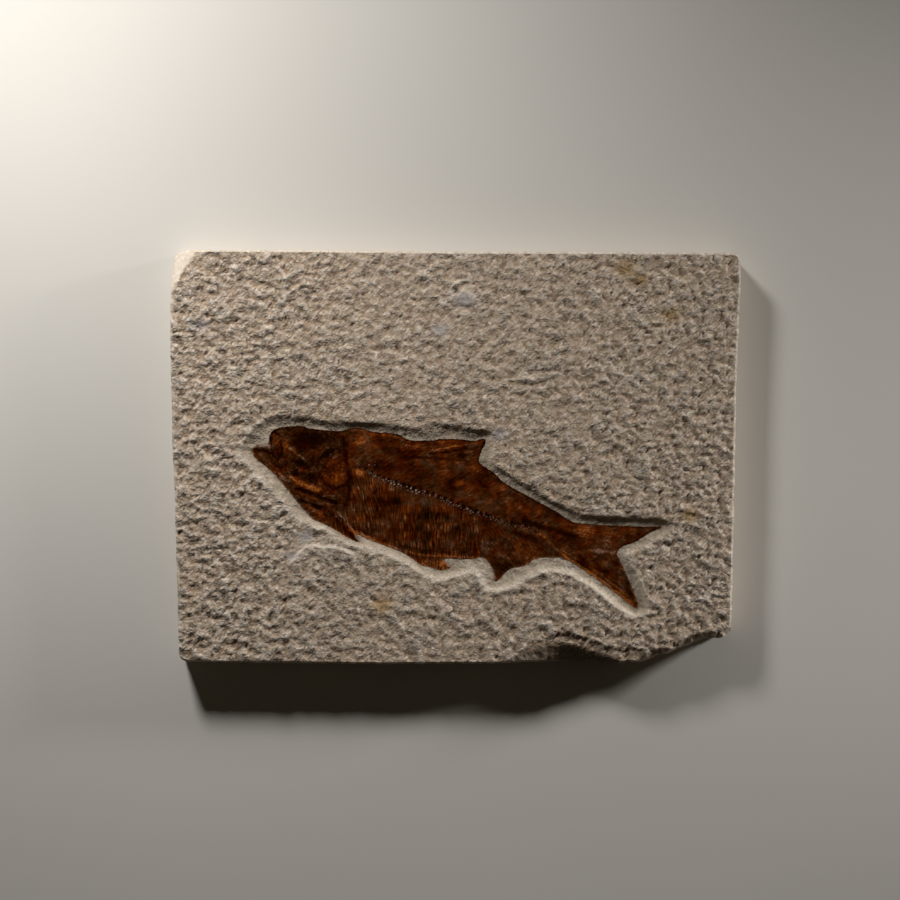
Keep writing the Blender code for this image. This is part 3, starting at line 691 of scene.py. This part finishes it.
def slab_surface(x, y, relief):
    """Height of the slab's face at each point, with the marks that the stone's material reads."""
    edge = along_line(x, y, closed(np.array(SLAB_OUTLINE)))[0]
    lumps, crest, even, ridge_and_lip_highlight = face_relief(x, y, edge, relief)
    z, climb, fresh, worn = cut_hollow(x, y, lumps)

    # The worn corner slopes down from the line between its two points
    (ax, ay), (bx, by) = WORN_CORNER
    beyond = ((y - ay) * (ax - bx) + (x - ax) * (by - ay)) / math.hypot(bx - ax, by - ay)
    slope = FACE_LEVEL + 0.2 - WORN_SLOPE * beyond + 0.05 * streaks(x, y, 66, 4.0, 0.6, 124)
    over = z - slope
    on_corner = ease(over / 0.8 + 0.4) * (beyond > -1.0)
    z = np.where(beyond > -1.0, z - 0.5 * (over + np.sqrt(over * over + 0.04)), z)

    # The scoop is shallow and furrowed at its left and steep at its right
    slip = 0.4 * waves(x / 2.4, 0.0 * x, 125) + 0.25 * waves(x / 0.9, 0.0 * x, 126)
    drop = np.interp(x, *zip(*SCOOP_RIM), left=-99.0, right=-99.0) + slip - y
    in_scoop = drop > 0.0
    furrow = 0.16 * waves(x / 0.8, y / 5.0, 128) + 0.1 * waves(x / 1.6, y / 1.6, 129)
    scoop = np.interp(x, *zip(*SCOOP_SLOPE)) * drop + furrow * ease(drop / 1.5) + lumps * ease(drop / 1.0)
    z = np.where(in_scoop, z - scoop, z)

    # Painted shade in the low places and painted highlight on the crests
    high = np.clip(0.5 + 0.4 * lumps + 3.0 * crest, 0.0, 1.0) * climb + 0.5 * (1.0 - climb)
    # Painted highlight along the top, left and right arrises, which the lamps catch
    arris_highlight = 0.8 * np.exp(-np.maximum(edge - 0.5, 0.0) / 0.25) * ((y > 50.0) | (np.abs(x) > 60.0))
    stain, blue = (
        sum(patch(x, y, middle, (radius, radius * flat)) for middle, radius in spots)
        for spots, flat in ((STAINS, 0.8), (BLUE_SPOTS, 0.7))
    )
    return z, {
        "high": high,
        "hollow": 1.0 - climb,
        # Painted highlight on the lower wall, the worn corner's facet, the flake's ridge, the shell's lip and
        # the arrises
        "fresh": np.max([fresh, on_corner, ridge_and_lip_highlight, arris_highlight], axis=0),
        "stain": stain,
        "blue": blue,
        # Painted shade in the scoop, growing towards its steep right part, and the darker band at the lower
        # wall's foot
        "worn": worn + in_scoop * np.interp(x, (22.0, 32.0), (0.3, 1.0)),
        "even": np.clip(0.8 * on_corner + even + 0.15 * (1.0 - climb), 0.0, 1.0),
    }


def wall_points(points, ring, arris, outline):
    """Places the rings of the slab's side: a worn arris, a sawn wall with layers and a chamfered foot."""
    x, y, top = points.T.copy()
    wall = ring > 0
    foot = ring[wall] == WALL_RINGS
    out_x, out_y = nearest_on(x[wall], y[wall], outline)
    step_x, step_y = out_x - x[wall], out_y - y[wall]
    step = np.hypot(step_x, step_y) + 1e-9
    share = (ring[wall] - 1) / (WALL_RINGS - 2)
    z = np.where(foot, 0.0, (top[wall] - arris) * (1.0 - share) + arris * share)
    broken = ease((out_x - 47.0) / 5.0) * ease((-44.0 - out_y) / 3.0)
    push = 0.05 * waves(z / 0.9, (out_x + out_y) / 9.0, 131) + 0.05 * waves(out_x / 1.4 + z, out_y / 1.4, 132)
    push += broken * 0.7 * waves((out_x - out_y) / 3.2, z / 2.6, 133) - arris * foot
    points[wall, 0] = out_x + push * step_x / step
    points[wall, 1] = out_y + push * step_y / step
    points[wall, 2] = z
    return points


# The fish

def ribs(x, y, wx, wy, below, trunk):
    """What the ribs and fine hairs of bone below the backbone add to tone, redness and height."""
    rx = x + 0.2 * y * ease((-12.0 - x) / 10.0)
    rx += 0.30 * waves(x / 3.0, y / 3.5, 15) + 0.12 * waves(x / 1.2, y / 1.4, 16)
    zone = trunk * ease(below / 1.2 - 0.4) * ease((9.5 - wx) / 3.0) * ease(-wy)
    zone *= 0.3 + 0.7 * np.maximum(ease((-12.5 - wy) / 3.0), ease((-13.0 - wx) / 3.0))
    rib = np.sin(math.tau * rx / RIB_SPACING + 2.5 * waves(x / 1.5, below / 6.0, 31))
    rib *= ease(0.5 + 1.2 * waves(x, y / 2.2, 37))
    hair = waves(rx / 0.33, y / 2.5, 32)
    return zone * (0.16 * rib + 0.38 * hair), zone * 0.3 * hair, zone * (0.025 * rib + 0.02 * hair)


def spines(x, y, wx, wy, below, trunk):
    """What the leaning spines and the muscle's fibres between them add to tone, redness and height."""
    zone = trunk * ease(-below / 1.2 - 0.4)
    spine = np.sin(math.tau * turned(wx, wy, 28)[1] / 0.95 + 2.0 * waves(x / 3.0, y / 3.0, 33))
    fibre = streaks(wx, wy, 27, 1.7, 0.4, 34)
    tone, rise = zone * (0.03 * spine + 0.13 * fibre), zone * (0.008 * spine + 0.02 * fibre)

    # Below the backbone they show behind the ribs only
    zone = trunk * ease(below / 1.2 - 0.4) * ease((wx - 6.5) / 3.0)
    spine = np.sin(math.tau * turned(wx, wy, -52)[1] / 0.85 + 1.8 * waves(x / 2.5, y / 2.5, 35))
    fibre = 0.16 * streaks(wx, wy, -50, 1.4, 0.4, 36) + 0.14 * waves(x / 0.36, y / 0.36, 38)
    return tone + zone * (0.03 * spine + fibre), 0.0, rise + zone * 0.015 * spine


def fin_rays(x, y, wx, wy, trunk, tail):
    """What the rays of the back's fin, the tail and the lower fins add to tone, redness and height."""
    fin = ease((wx + 15.0) / 3.0) * ease((wy + 0.6 - 0.13 * (wx + 8.0)) / 1.0 + 0.35) * trunk
    ray = streaks(wx, wy, 7, 7.0, 0.33, 41)
    tone, rise = fin * (0.22 * ray - 0.04), fin * 0.02 * ray
    upper = tail * ease((wy + 24.5 - 0.1 * (wx - 30.0)) / 2.0 + 0.5)
    for lobe, angle, spacing, bend, reach, seed, paler in (
        (upper, -6, 0.62, (4.0, 2.0), 3.5, 42, 0.09), (tail - upper, -37, 0.6, (3.0, 3.0), 3.0, 43, 0.06),
    ):
        bent = 1.5 * waves(x / bend[0], y / bend[1], seed)
        ray = np.sin(math.tau * turned(wx, wy, angle)[1] / spacing + bent)
        tone += lobe * (0.04 * ray + 0.17 * streaks(wx, wy, angle, reach, 0.35, seed + 2) + paler)
        rise += lobe * 0.02 * ray
    tone += 0.12 * tail * waves(x / 0.4, y / 0.4, 47)
    low_fin = ease((-wy - 27.6 - 0.02 * wx) / 1.2) * ease((16.0 - np.abs(wx - 2.0)) / 4.0)
    tone += low_fin * 0.26 * streaks(wx, wy, -28, 3.4, 0.35, 46)
    return tone, 0.0, rise


def head_plates(x, y, wx, wy, head):
    """What the head's plates, their seams and the gill cover's rays add to tone, redness and height."""
    gill = patch(wx, wy, (-32.8, -4.1), (6.0, 7.0), -30)
    fan = np.sin(np.arctan2(wy - 1.3, wx + 32.5) * 44.0 + 1.5 * waves(x, y, 55))
    grain = (1.0 - 0.8 * gill) * waves(wx / 0.55, wy / 0.55, 52)
    seam = ease(1.0 - np.abs(waves(wx / 2.4, wy / 2.0, 56)) / 0.16)
    seam -= ease(1.0 - np.abs(waves(wx / 1.8, wy / 1.6, 57)) / 0.12)
    tone = head * (0.08 * waves(wx / 1.5, wy / 1.5, 51) + 0.17 * grain - 0.08 - 0.22 * seam)
    rise = 0.05 * waves(wx / 1.7, wy / 1.7, 53) + 0.025 * waves(wx / 0.7, wy / 0.7, 54) - 0.03 * seam
    return tone + gill * 0.12 * fan, -0.15 * head, head * rise + gill * 0.02 * fan


def drawn_bones(wx, wy):
    """What the bones, edges and stains of the two tables add to tone, redness and height."""
    marks = [(stroke(wx, wy, line, width * 1.5), changes) for line, width, *changes in LINES.values()]
    marks += [
        (patch(wx, wy, middle, (long * 1.25, wide * 1.25), angle), changes)
        for middle, (long, wide), angle, *changes in OVALS.values()
    ]
    return (sum(mark * changes[i] for mark, changes in marks) for i in range(3))


def vertebrae(x, y, from_bone, bone_run, bone_side):
    """What the backbone, a row of square pits with painted glints by them, adds to tone, height and the pale
    marks.
    """
    beat = np.sin(math.tau * bone_run / VERTEBRA_SPACING + 2.4 * waves(bone_run / 2.3, 0.0 * x, 63))
    beat += 0.9 * waves(x / 0.8, y / 0.8, 64)
    shown = np.interp(bone_run, (0.0, 8.0, 13.0, 38.0, 46.0, 60.0), (0.0, 0.4, 1.0, 1.0, 0.5, 0.1))
    off_bone = from_bone * bone_side + 0.25 * waves(bone_run / 1.6, 0.0 * x, 65)
    pit = shown * ease(1.0 - np.abs(off_bone - 0.2) / 0.8) * ease(1.2 * beat + 0.35)
    tone = -0.15 * shown * ease(1.0 - from_bone / 1.3) - pit
    rise = 0.08 * ease(1.0 - from_bone / 1.1) - 0.16 * pit
    glint = ease(2.6 * waves(x / 0.42, y / 0.42, 61) - 0.4 * beat - 0.6 + 0.6 * waves(x / 3.0, y / 3.0, 66))
    glint *= np.interp(bone_run, (0.0, 5.0, 16.0, 24.0, 50.0), (0.3, 0.9, 0.9, 0.5, 0.4))
    return tone, rise, shown * ease(1.0 - np.abs(off_bone + 0.3) / 1.0) * glint


def fish_surface(x, y, loop):
    """Height of the fish at each point, with the marks of its tone, redness, pale grains and painted glints.
    """
    # The bones are drawn with a shaky line
    wx = x + 0.22 * waves(x / 1.3, y / 1.3, 11) + 0.10 * waves(x / 0.5, y / 0.5, 12)
    wy = y + 0.22 * waves(x / 1.3, y / 1.3, 13) + 0.10 * waves(x / 0.5, y / 0.5, 14)
    inward = along_line(x, y, closed(loop))[0]
    from_bone, bone_run, bone_side = along_line(wx, wy, BACKBONE)
    below = from_bone * -bone_side
    shoulder_x, shoulder_y = np.array(SHOULDER)[::-1].T
    head = ease((np.interp(y, shoulder_y, shoulder_x) - wx) / 1.2 + 0.5)
    tail = ease((wx - 29.5 + 0.35 * (wy + 22.0)) / 3.0)
    trunk = (1.0 - head) * (1.0 - tail)

    # The skin swells from its thin edge and is mottled from 5.5 mm down to 0.45 mm
    tone, red = np.zeros(x.shape), np.zeros(x.shape)
    rise = 0.03 + 0.55 * (1.0 - np.exp(-inward / 4.0)) + 0.05 * waves(x / 3.0, y / 3.0, 26)
    for i, (size, amount, tint) in enumerate(
        ((5.5, 0.17, 0.25), (2.2, 0.19, 0.30), (1.0, 0.15, 0.20), (0.45, 0.06, 0.10))
    ):
        mottle = waves(x / size, y / (0.85 * size), 21 + i)
        tone += amount * mottle * (1.0 - 0.35 * head)
        rise += 0.02 * size**0.5 * mottle
        red += tint * waves(x / size, y / size, 71 + i)
    for more_tone, more_red, more_rise in (
        ribs(x, y, wx, wy, below, trunk), spines(x, y, wx, wy, below, trunk),
        fin_rays(x, y, wx, wy, trunk, tail), head_plates(x, y, wx, wy, head), drawn_bones(wx, wy),
    ):
        tone, red, rise = tone + more_tone, red + more_red, rise + more_rise
    more_tone, more_rise, pale = vertebrae(x, y, from_bone, bone_run, bone_side)
    tone, rise = tone + more_tone, rise + more_rise

    # Pale calcite grains and painted glints, dotted over the listed places
    grain_and_glint_dots = ease(2.2 * waves(x / 0.4, y / 0.4, 62) - 1.0)
    for middle, radii, amount in GRAINS_AND_GLINTS:
        pale = pale + amount * grain_and_glint_dots * patch(x, y, middle, radii)

    # A painted highlight runs along the lower edge and painted shade along the upper edge
    lit_lower_edge = ease((-(y + 8.0) - 0.35 * x) / 6.0)
    tone += ease(1.0 - inward / 0.7) * (0.30 * lit_lower_edge - 0.26 * (1.0 - lit_lower_edge))

    # Tones are spread so that each of the material's colours covers its own share of the fish
    tone = 0.5 + 0.5 * np.tanh(0.85 * (tone - tone.mean()) / tone.std())
    red = np.tanh(0.8 * (red - red.mean()) / red.std())
    return FLOOR_LEVEL + rise, {"tone": tone, "red": red, "pale": np.clip(pale, 0.0, 1.0)}


# Materials

def linear(colour):
    """An sRGB hex colour as linear red, green, blue and alpha."""
    parts = [int(colour[i:i + 2], 16) / 255.0 for i in (1, 3, 5)]
    return (*(p / 12.92 if p <= 0.04045 else ((p + 0.055) / 1.055) ** 2.4 for p in parts), 1.0)


def add(tree, kind, inputs=None, out=0, stops=(), **settings):
    """Adds a node with its settings, ramp stops and the values or links of its inputs; gives an output."""
    node = tree.nodes.new("ShaderNode" + kind)
    for name, value in settings.items():
        setattr(node, name, value)
    for i, (place, colour) in enumerate(stops):
        ramp = node.color_ramp.elements
        stop = ramp[i] if i < len(ramp) else ramp.new(place)
        stop.position, stop.color = place, colour
    for name, value in (inputs or {}).items():
        if isinstance(value, bpy.types.NodeSocket):
            tree.links.new(value, node.inputs[name])
        else:
            node.inputs[name].default_value = value
    return node.outputs[out] if node.outputs else node


def new_material(name):
    """An empty node material and its tree."""
    material = bpy.data.materials.new(name)
    material.use_nodes = True
    material.node_tree.nodes.clear()
    return material, material.node_tree


def limestone(settings):
    """Fine laminated limestone, pecked by hand: matt, rosy beige with yellow and blue grey places."""
    material, tree = new_material("pecked laminated limestone")
    place = add(tree, "TexCoord", out="Object")
    # Cloudy colour 6 mm and 1.3 mm across, grains that are drawn at 0.45 mm, coarser than the real silt, and
    # the swirls that bend the thin plates
    cloud, fleck, grain, swirl = (
        add(tree, "TexNoise", {
            "Vector": place, "Scale": 1 / (size * MM), "Detail": octaves, "Roughness": gain,
        })
        for size, octaves, gain in ((6.0, 3.0, 0.6), (1.3, 3.0, 0.65), (0.45, 2.0, 0.6), (2.4, 2.0, 0.45))
    )
    hue = add(tree, "Mapping", {"Vector": place, "Location": (0.3, 0.3, 0.3)})
    hue = add(tree, "TexNoise", {"Vector": hue, "Scale": 1 / (2.6 * MM), "Detail": 3.0})
    # Crumbs 1.3 mm wide with sharp creases between them
    bend = add(tree, "TexNoise", {"Vector": place, "Scale": 1 / (1.0 * MM), "Detail": 1.0}, out="Color")
    bent = add(tree, "Mix", {0: 0.45 * MM, 4: place, 5: bend}, out=1, data_type="VECTOR")
    crumb = add(tree, "TexVoronoi", {"Vector": bent, "Scale": 1 / (1.3 * MM)}, out="Distance")
    # Chips 1.6 mm wide: flat, each tilted its own way but mostly up the face, with sharp broken edges
    chip = add(tree, "TexVoronoi", {"Vector": bent, "Scale": 1 / (1.6 * MM)}, out="Color")
    away = add(tree, "VectorMath", {0: bent, 1: chip.node.outputs["Position"]}, operation="SUBTRACT")
    tilt = add(tree, "VectorMath", {0: chip, 1: (2.0,) * 3, 2: (-1.0, -0.5, -1.0)}, operation="MULTIPLY_ADD")
    chip = add(tree, "VectorMath", {0: tilt, 1: away}, out="Value", operation="DOT_PRODUCT")
    # Layers 0.7 mm thick show on the sides and the sawn back
    flat = add(tree, "Mapping", {
        "Vector": place, "Scale": (1 / (30.0 * MM), 1 / (30.0 * MM), 1 / (0.7 * MM)),
    })
    layer = add(tree, "TexNoise", {"Vector": flat, "Scale": 1.0, "Detail": 2.0})
    facing = add(tree, "SeparateXYZ", {0: add(tree, "NewGeometry", out="Normal")}, out=2)
    side = add(tree, "MapRange", {0: facing, 1: 0.5, 2: 0.2, 3: 0.0, 4: 1.0})
    # Thin plates 2 mm wide lie on each other and end in lips towards the top edge, which carry a painted
    # highlight
    up = add(tree, "SeparateXYZ", {0: place}, out=1)
    plate = add(tree, "Math", {0: up, 1: 0.45 / MM, 2: 20.0}, operation="MULTIPLY_ADD")
    plate = add(tree, "Math", {0: swirl, 1: 4.0, 2: plate}, operation="MULTIPLY_ADD")
    plate = add(tree, "Math", {0: plate}, operation="FRACT")
    plated = add(tree, "MapRange", {0: cloud, 1: 0.42, 2: 0.58})
    plate = add(tree, "Math", {0: plate, 1: plated}, operation="MULTIPLY")
    lip_highlight = add(tree, "MapRange", {0: plate, 1: 0.8, 2: 1.0})
    # Painted shade darkens and browns the low places and painted highlight whitens the high ones, from the
    # lumps down to the grains
    high = add(tree, "Attribute", out="Fac", attribute_name="high")
    fine = fleck
    for value, weight in ((grain, 0.5), (crumb, -0.25)):
        fine = add(tree, "Math", {0: value, 1: weight, 2: fine}, operation="MULTIPLY_ADD")
    shade = -0.02
    for value, weight in ((cloud, 0.25), (high, 0.7), (fine, 0.18), (lip_highlight, 0.4)):
        shade = add(tree, "Math", {0: value, 1: weight, 2: shade}, operation="MULTIPLY_ADD")
    striped = add(tree, "Math", {0: layer, 1: 0.9, 2: 0.05}, operation="MULTIPLY_ADD")
    base = add(tree, "ValToRGB", {0: add(tree, "Mix", {0: side, 2: shade, 3: striped})}, stops=(
        (0.10, settings.dark), (0.50, settings.middle), (0.90, settings.light),
    ))
    warm = add(tree, "MapRange", {0: hue, 1: 0.42, 2: 0.62, 3: 0.0, 4: 0.2})
    colour = add(tree, "Mix", {0: warm, 6: base, 7: settings.warm}, out=2, data_type="RGBA")
    motley = add(tree, "TexNoise", {
        "Vector": place, "Scale": 1 / (3.5 * MM), "Detail": 4.0, "Roughness": 0.6,
    }, out="Color")
    colour = add(tree, "Mix", {0: 0.05, 6: colour, 7: motley}, out=2, data_type="RGBA", blend_type="OVERLAY")
    # The marks lay on the hollow's own colour, painted highlight with some wear, iron stains, blue places,
    # and painted shade in the scoop with a darker band at the lower wall's foot
    for mark, tint, amount in (
        ("hollow", settings.hollow, 0.5), ("fresh", settings.fresh, 0.75), ("stain", settings.stain, 0.75),
        ("blue", settings.blue, 0.6), ("worn", settings.shade_and_foot_tint, 0.8),
    ):
        mark = add(tree, "Attribute", out="Fac", attribute_name=mark)
        share = add(tree, "Math", {0: mark, 1: amount}, operation="MULTIPLY", use_clamp=True)
        colour = add(tree, "Mix", {0: share, 6: colour, 7: tint}, out=2, data_type="RGBA")
    # The bump is 0.35 mm high, more towards the face's left end and less where the stone is even
    height = fine
    for value, weight in ((chip, 0.3 / MM), (plate, 0.75)):
        height = add(tree, "Math", {0: value, 1: weight, 2: height}, operation="MULTIPLY_ADD")
    across = add(tree, "SeparateXYZ", {0: place})
    coarse = add(tree, "MapRange", {0: across, 1: -20 * MM, 2: -60 * MM, 3: 0.35 * MM, 4: 0.46 * MM})
    even = add(tree, "Attribute", out="Fac", attribute_name="even")
    even = add(tree, "MapRange", {0: even, 3: 1.0, 4: 0.25})
    coarse = add(tree, "Math", {0: coarse, 1: even}, operation="MULTIPLY")
    normal = add(tree, "Bump", {"Height": height, "Strength": 1.0, "Distance": coarse, "Filter Width": 0.3})
    shader = add(tree, "BsdfPrincipled", {
        "Base Color": colour, "Roughness": 0.93, "IOR": 1.5, "Specular IOR Level": 0.3, "Normal": normal,
    })
    add(tree, "OutputMaterial", {"Surface": shader})
    return material


def fossil_bone(settings):
    """Mineralised bone, scale and skin, cleaned with a needle and sealed: dark rust brown and glossy."""
    material, tree = new_material("sealed mineralised bone")
    place = add(tree, "TexCoord", out="Object")
    tone, red, pale = (
        add(tree, "Attribute", out="Fac", attribute_name=mark) for mark in ("tone", "red", "pale")
    )
    # Bone fibres and specks drawn at 0.3 mm, about twice as coarse as the real ones
    speck = add(tree, "TexNoise", {"Vector": place, "Scale": 1 / (0.3 * MM), "Detail": 2.0, "Roughness": 0.7})
    spread = add(tree, "MapRange", {0: speck, 1: 0.25, 2: 0.75, 3: -0.13, 4: 0.13})
    shade = add(tree, "Math", {0: tone, 1: spread}, operation="ADD", use_clamp=True)
    base = add(tree, "ValToRGB", {0: shade}, stops=(
        (0.0, settings.black), (0.15, settings.dark), (0.50, settings.middle), (0.80, settings.rust),
        (0.96, settings.tan), (1.0, settings.bone),
    ))
    redness = add(tree, "MapRange", {0: red, 1: -1.0, 2: 1.0})
    tint = add(tree, "Mix", {0: redness, 6: PURPLE_TINT, 7: ORANGE_TINT}, out=2, data_type="RGBA")
    colour = add(tree, "Mix", {0: 1.0, 6: base, 7: tint}, out=2, data_type="RGBA", blend_type="MULTIPLY")
    # Pale calcite grains and painted glints
    colour = add(tree, "Mix", {0: pale, 6: colour, 7: settings.grain_and_glint_colour}, out=2, data_type="RGBA")
    rough = add(tree, "MapRange", {0: speck, 1: 0.3, 2: 0.7, 3: 0.12, 4: 0.24})
    normal = add(tree, "Bump", {"Height": speck, "Strength": 1.0, "Distance": 0.015 * MM})
    shader = add(tree, "BsdfPrincipled", {
        "Base Color": colour, "Roughness": rough, "IOR": 1.5, "Normal": normal,
    })
    add(tree, "OutputMaterial", {"Surface": shader})
    return material


def painted_board(settings):
    """Board with matt paint, the studio floor: plain, pale and slightly uneven."""
    material, tree = new_material("matt painted board")
    place = add(tree, "TexCoord", out="Object")
    cloud = add(tree, "TexNoise", {"Vector": place, "Scale": 1 / (60.0 * MM), "Detail": 2.0})
    dark = tuple(0.96 * c for c in settings.floor[:3]) + (1.0,)
    colour = add(tree, "Mix", {0: cloud, 6: dark, 7: settings.floor}, out=2, data_type="RGBA")
    shader = add(tree, "BsdfPrincipled", {"Base Color": colour, "Roughness": 0.8})
    add(tree, "OutputMaterial", {"Surface": shader})
    return material


# Settings

def length(name, description, millimetres):
    """A length that the user may change, given in millimetres and kept in metres."""
    return FloatProperty(
        name=name, description=description, default=millimetres * MM, min=0.0, unit="LENGTH", precision=5,
    )


def colour(name, description, value):
    """A colour that the user may change."""
    return FloatVectorProperty(
        name=name, description=description, default=linear(value), size=4, min=0.0, max=1.0, subtype="COLOR",
    )


def strength(name, description, value, unit="NONE"):
    """A power or strength that the user may change."""
    return FloatProperty(name=name, description=description, default=value, min=0.0, unit=unit)


class SlabSettings(bpy.types.PropertyGroup):
    """Sizes and colours of the limestone slab."""

    cell: length("Cell", "Width of a cell of the face's mesh", 0.46)
    arris: length("Arris", "Width of the worn edge around the face", 0.55)
    relief: strength("Relief", "Strength of the pecked relief", 1.0)
    # Painted shade in the scoop and a darker band at the foot of the hollow's lower wall
    shade_and_foot_tint: colour("Shade and dark foot", "Dirt in the scoop", "#5E4C3B")
    # The dark and light stone colours carry painted shade in the low places and painted highlight on the high
    # places and lips
    dark: colour("Dark stone", "Brown dirt in the low places", "#8A705A")
    middle: colour("Middle stone", "Most of the stone", "#BCA791")
    light: colour("Light stone", "Crushed stone on the high places", "#E2D8CC")
    warm: colour("Warm stone", "Yellowish clouds of the stone", "#C2AB92")
    hollow: colour("Hollow", "Freshly cut stone around the fish", "#B3AA98")
    # Painted highlight, with some wear, on the hollow's lower wall, the lips, the worn corner and the arrises
    fresh: colour("Highlight and wear", "Crushed stone on the hollow's wall and rim", "#E2D8C9")
    stain: colour("Stain", "Iron stains", "#B5935E")
    blue: colour("Blue stone", "Bluish grey places", "#B4B5BA")


class FishSettings(bpy.types.PropertyGroup):
    """Sizes and colours of the fossil fish."""

    cell: length("Cell", "Width of a cell of the fish's mesh", 0.185)
    black: colour("Black", "Darkest skin and pits", "#180301")
    dark: colour("Dark", "Dark skin", "#2F1001")
    middle: colour("Middle", "Most of the skin", "#472005")
    rust: colour("Rust", "Rusty bone", "#5A3213")
    tan: colour("Tan", "Tan bone", "#7B4E2B")
    bone: colour("Bone", "Lightest bone", "#A87C56")
    # Pale calcite grains and painted glints
    grain_and_glint_colour: colour("Grains and glints", "Pale mineral grains", "#DCC5AF")


class StageSettings(bpy.types.PropertyGroup):
    """The camera, the lights and the floor."""

    view_width: length("View width", "Width that the camera sees at the level of the face", 243.0)
    distance: length("Distance", "Height of the camera above the face", 675.0)
    floor: colour("Floor", "Colour of the studio floor", "#D9D6D0")
    left: strength("Left lamp", "Power of the lamp at the top left", 0.425, "POWER")
    right: strength("Right lamp", "Power of the low lamp at the right", 0.285, "POWER")
    room: strength("Room", "Strength of the light from all around", 0.021)


# Operators

class FOSSIL_OT_slab(bpy.types.Operator):
    """Make the pecked limestone slab with its hollow and its damage"""

    bl_idname = "fossil.slab"
    bl_label = "Limestone Slab"

    def execute(self, context):
        settings = context.scene.fossil_slab
        arris = settings.arris / MM
        outline = even_loop(SLAB_OUTLINE, 0.5)
        outline = ragged(ragged(outline, 0.10, 3.5, 141), 0.08, 1.2, 142)
        net = net_inside(outline - arris * outwards(outline), settings.cell / MM, 0.0)
        draw_down(net, WALL_RINGS)
        piece, points, ring = piece_from("pecked_slab", net)
        points[:, 2], marks = slab_surface(points[:, 0], points[:, 1], settings.relief)
        # The arris all round is lightened: wear, with painted highlight where the lamps catch it
        marks["fresh"] = np.where(ring == 1, 0.8, marks["fresh"])
        points = wall_points(points, ring, arris, outline)
        finish_piece(piece, points, marks, limestone(settings), "limestone_slab")
        return {"FINISHED"}


class FOSSIL_OT_fish(bpy.types.Operator):
    """Make the fossil fish with its bones, skin and fins"""

    bl_idname = "fossil.fish"
    bl_label = "Fossil Fish"

    def execute(self, context):
        settings = context.scene.fossil_fish
        loop = ragged(even_loop(closed_curve(FISH_OUTLINE, 4), 0.2), 0.12, 0.9, 151)
        loop = ragged(loop, 0.10, 0.4, 152)
        net = net_inside(loop, settings.cell / MM, FISH_TILT)
        draw_down(net, 1)
        piece, points, ring = piece_from("fish_fossil", net)
        z, marks = fish_surface(points[:, 0], points[:, 1], loop)
        points[:, 2] = np.where(ring == 1, FISH_UNDERSIDE, z)
        finish_piece(piece, points, marks, fossil_bone(settings), "knightia_fish")
        return {"FINISHED"}


class FOSSIL_OT_stage(bpy.types.Operator):
    """Make the floor, the lights and the camera"""

    bl_idname = "fossil.stage"
    bl_label = "Stage"

    def execute(self, context):
        scene, settings = context.scene, context.scene.fossil_stage
        net = bmesh.new()
        bmesh.ops.create_grid(net, x_segments=1, y_segments=1, size=1.5)
        mesh = bpy.data.meshes.new("floor")
        net.to_mesh(mesh)
        net.free()
        floor = bpy.data.objects.new("floor", mesh)
        mesh.materials.append(painted_board(settings))
        scene.collection.objects.link(floor)

        camera = bpy.data.objects.new("camera", bpy.data.cameras.new("camera"))
        camera.data.sensor_width = 36.0
        camera.data.lens = 36.0 * settings.distance / settings.view_width
        camera.data.clip_start = 0.01
        camera.location = (VIEW_MIDDLE[0] * MM, VIEW_MIDDLE[1] * MM, FACE_LEVEL * MM + settings.distance)
        scene.collection.objects.link(camera)
        scene.camera = camera

        for side, (place, aim, size, spread) in LAMPS.items():
            name = f"{side} lamp"
            light = bpy.data.objects.new(name, bpy.data.lights.new(name, "AREA"))
            light.data.shape, light.data.size, light.data.spread = "DISK", size, math.radians(spread)
            light.data.energy, light.data.color = getattr(settings, side), LAMP_COLOUR
            light.location = place
            # Seen from low at the side, the glossy fish would mirror so small a lamp as one white patch
            light.visible_glossy = False
            target = Vector((*aim, FACE_LEVEL * MM))
            light.rotation_euler = (target - light.location).to_track_quat("-Z", "Y").to_euler()
            scene.collection.objects.link(light)
        scene.world = bpy.data.worlds.new("studio")
        scene.world.use_nodes = True
        background = scene.world.node_tree.nodes["Background"]
        background.inputs["Color"].default_value = ROOM_COLOUR
        background.inputs["Strength"].default_value = settings.room
        scene.world.cycles_visibility.glossy = False
        scene.view_settings.view_transform = "Standard"
        return {"FINISHED"}


class FOSSIL_PT_panel(bpy.types.Panel):
    """The pieces, the stage and their settings"""

    bl_idname = "FOSSIL_PT_panel"
    bl_label = "Fossil Fish Slab"
    bl_space_type = "VIEW_3D"
    bl_region_type = "UI"
    bl_category = "Fossil"

    def draw(self, context):
        for kind, (operator, settings) in PARTS.items():
            box = self.layout.box()
            group = getattr(context.scene, kind)
            for name in settings.__annotations__:
                box.prop(group, name)
            box.operator(operator.bl_idname)


PARTS = {
    "fossil_slab": (FOSSIL_OT_slab, SlabSettings),
    "fossil_fish": (FOSSIL_OT_fish, FishSettings),
    "fossil_stage": (FOSSIL_OT_stage, StageSettings),
}


def register():
    for kind, (operator, settings) in PARTS.items():
        bpy.utils.register_class(settings)
        bpy.utils.register_class(operator)
        setattr(bpy.types.Scene, kind, PointerProperty(type=settings))
    bpy.utils.register_class(FOSSIL_PT_panel)


def unregister():
    bpy.utils.unregister_class(FOSSIL_PT_panel)
    for kind, (operator, settings) in PARTS.items():
        delattr(bpy.types.Scene, kind)
        bpy.utils.unregister_class(operator)
        bpy.utils.unregister_class(settings)


def main():
    """Makes every piece and the stage."""
    register()
    bpy.ops.fossil.slab()
    bpy.ops.fossil.fish()
    bpy.ops.fossil.stage()


if __name__ == "__main__":
    main()
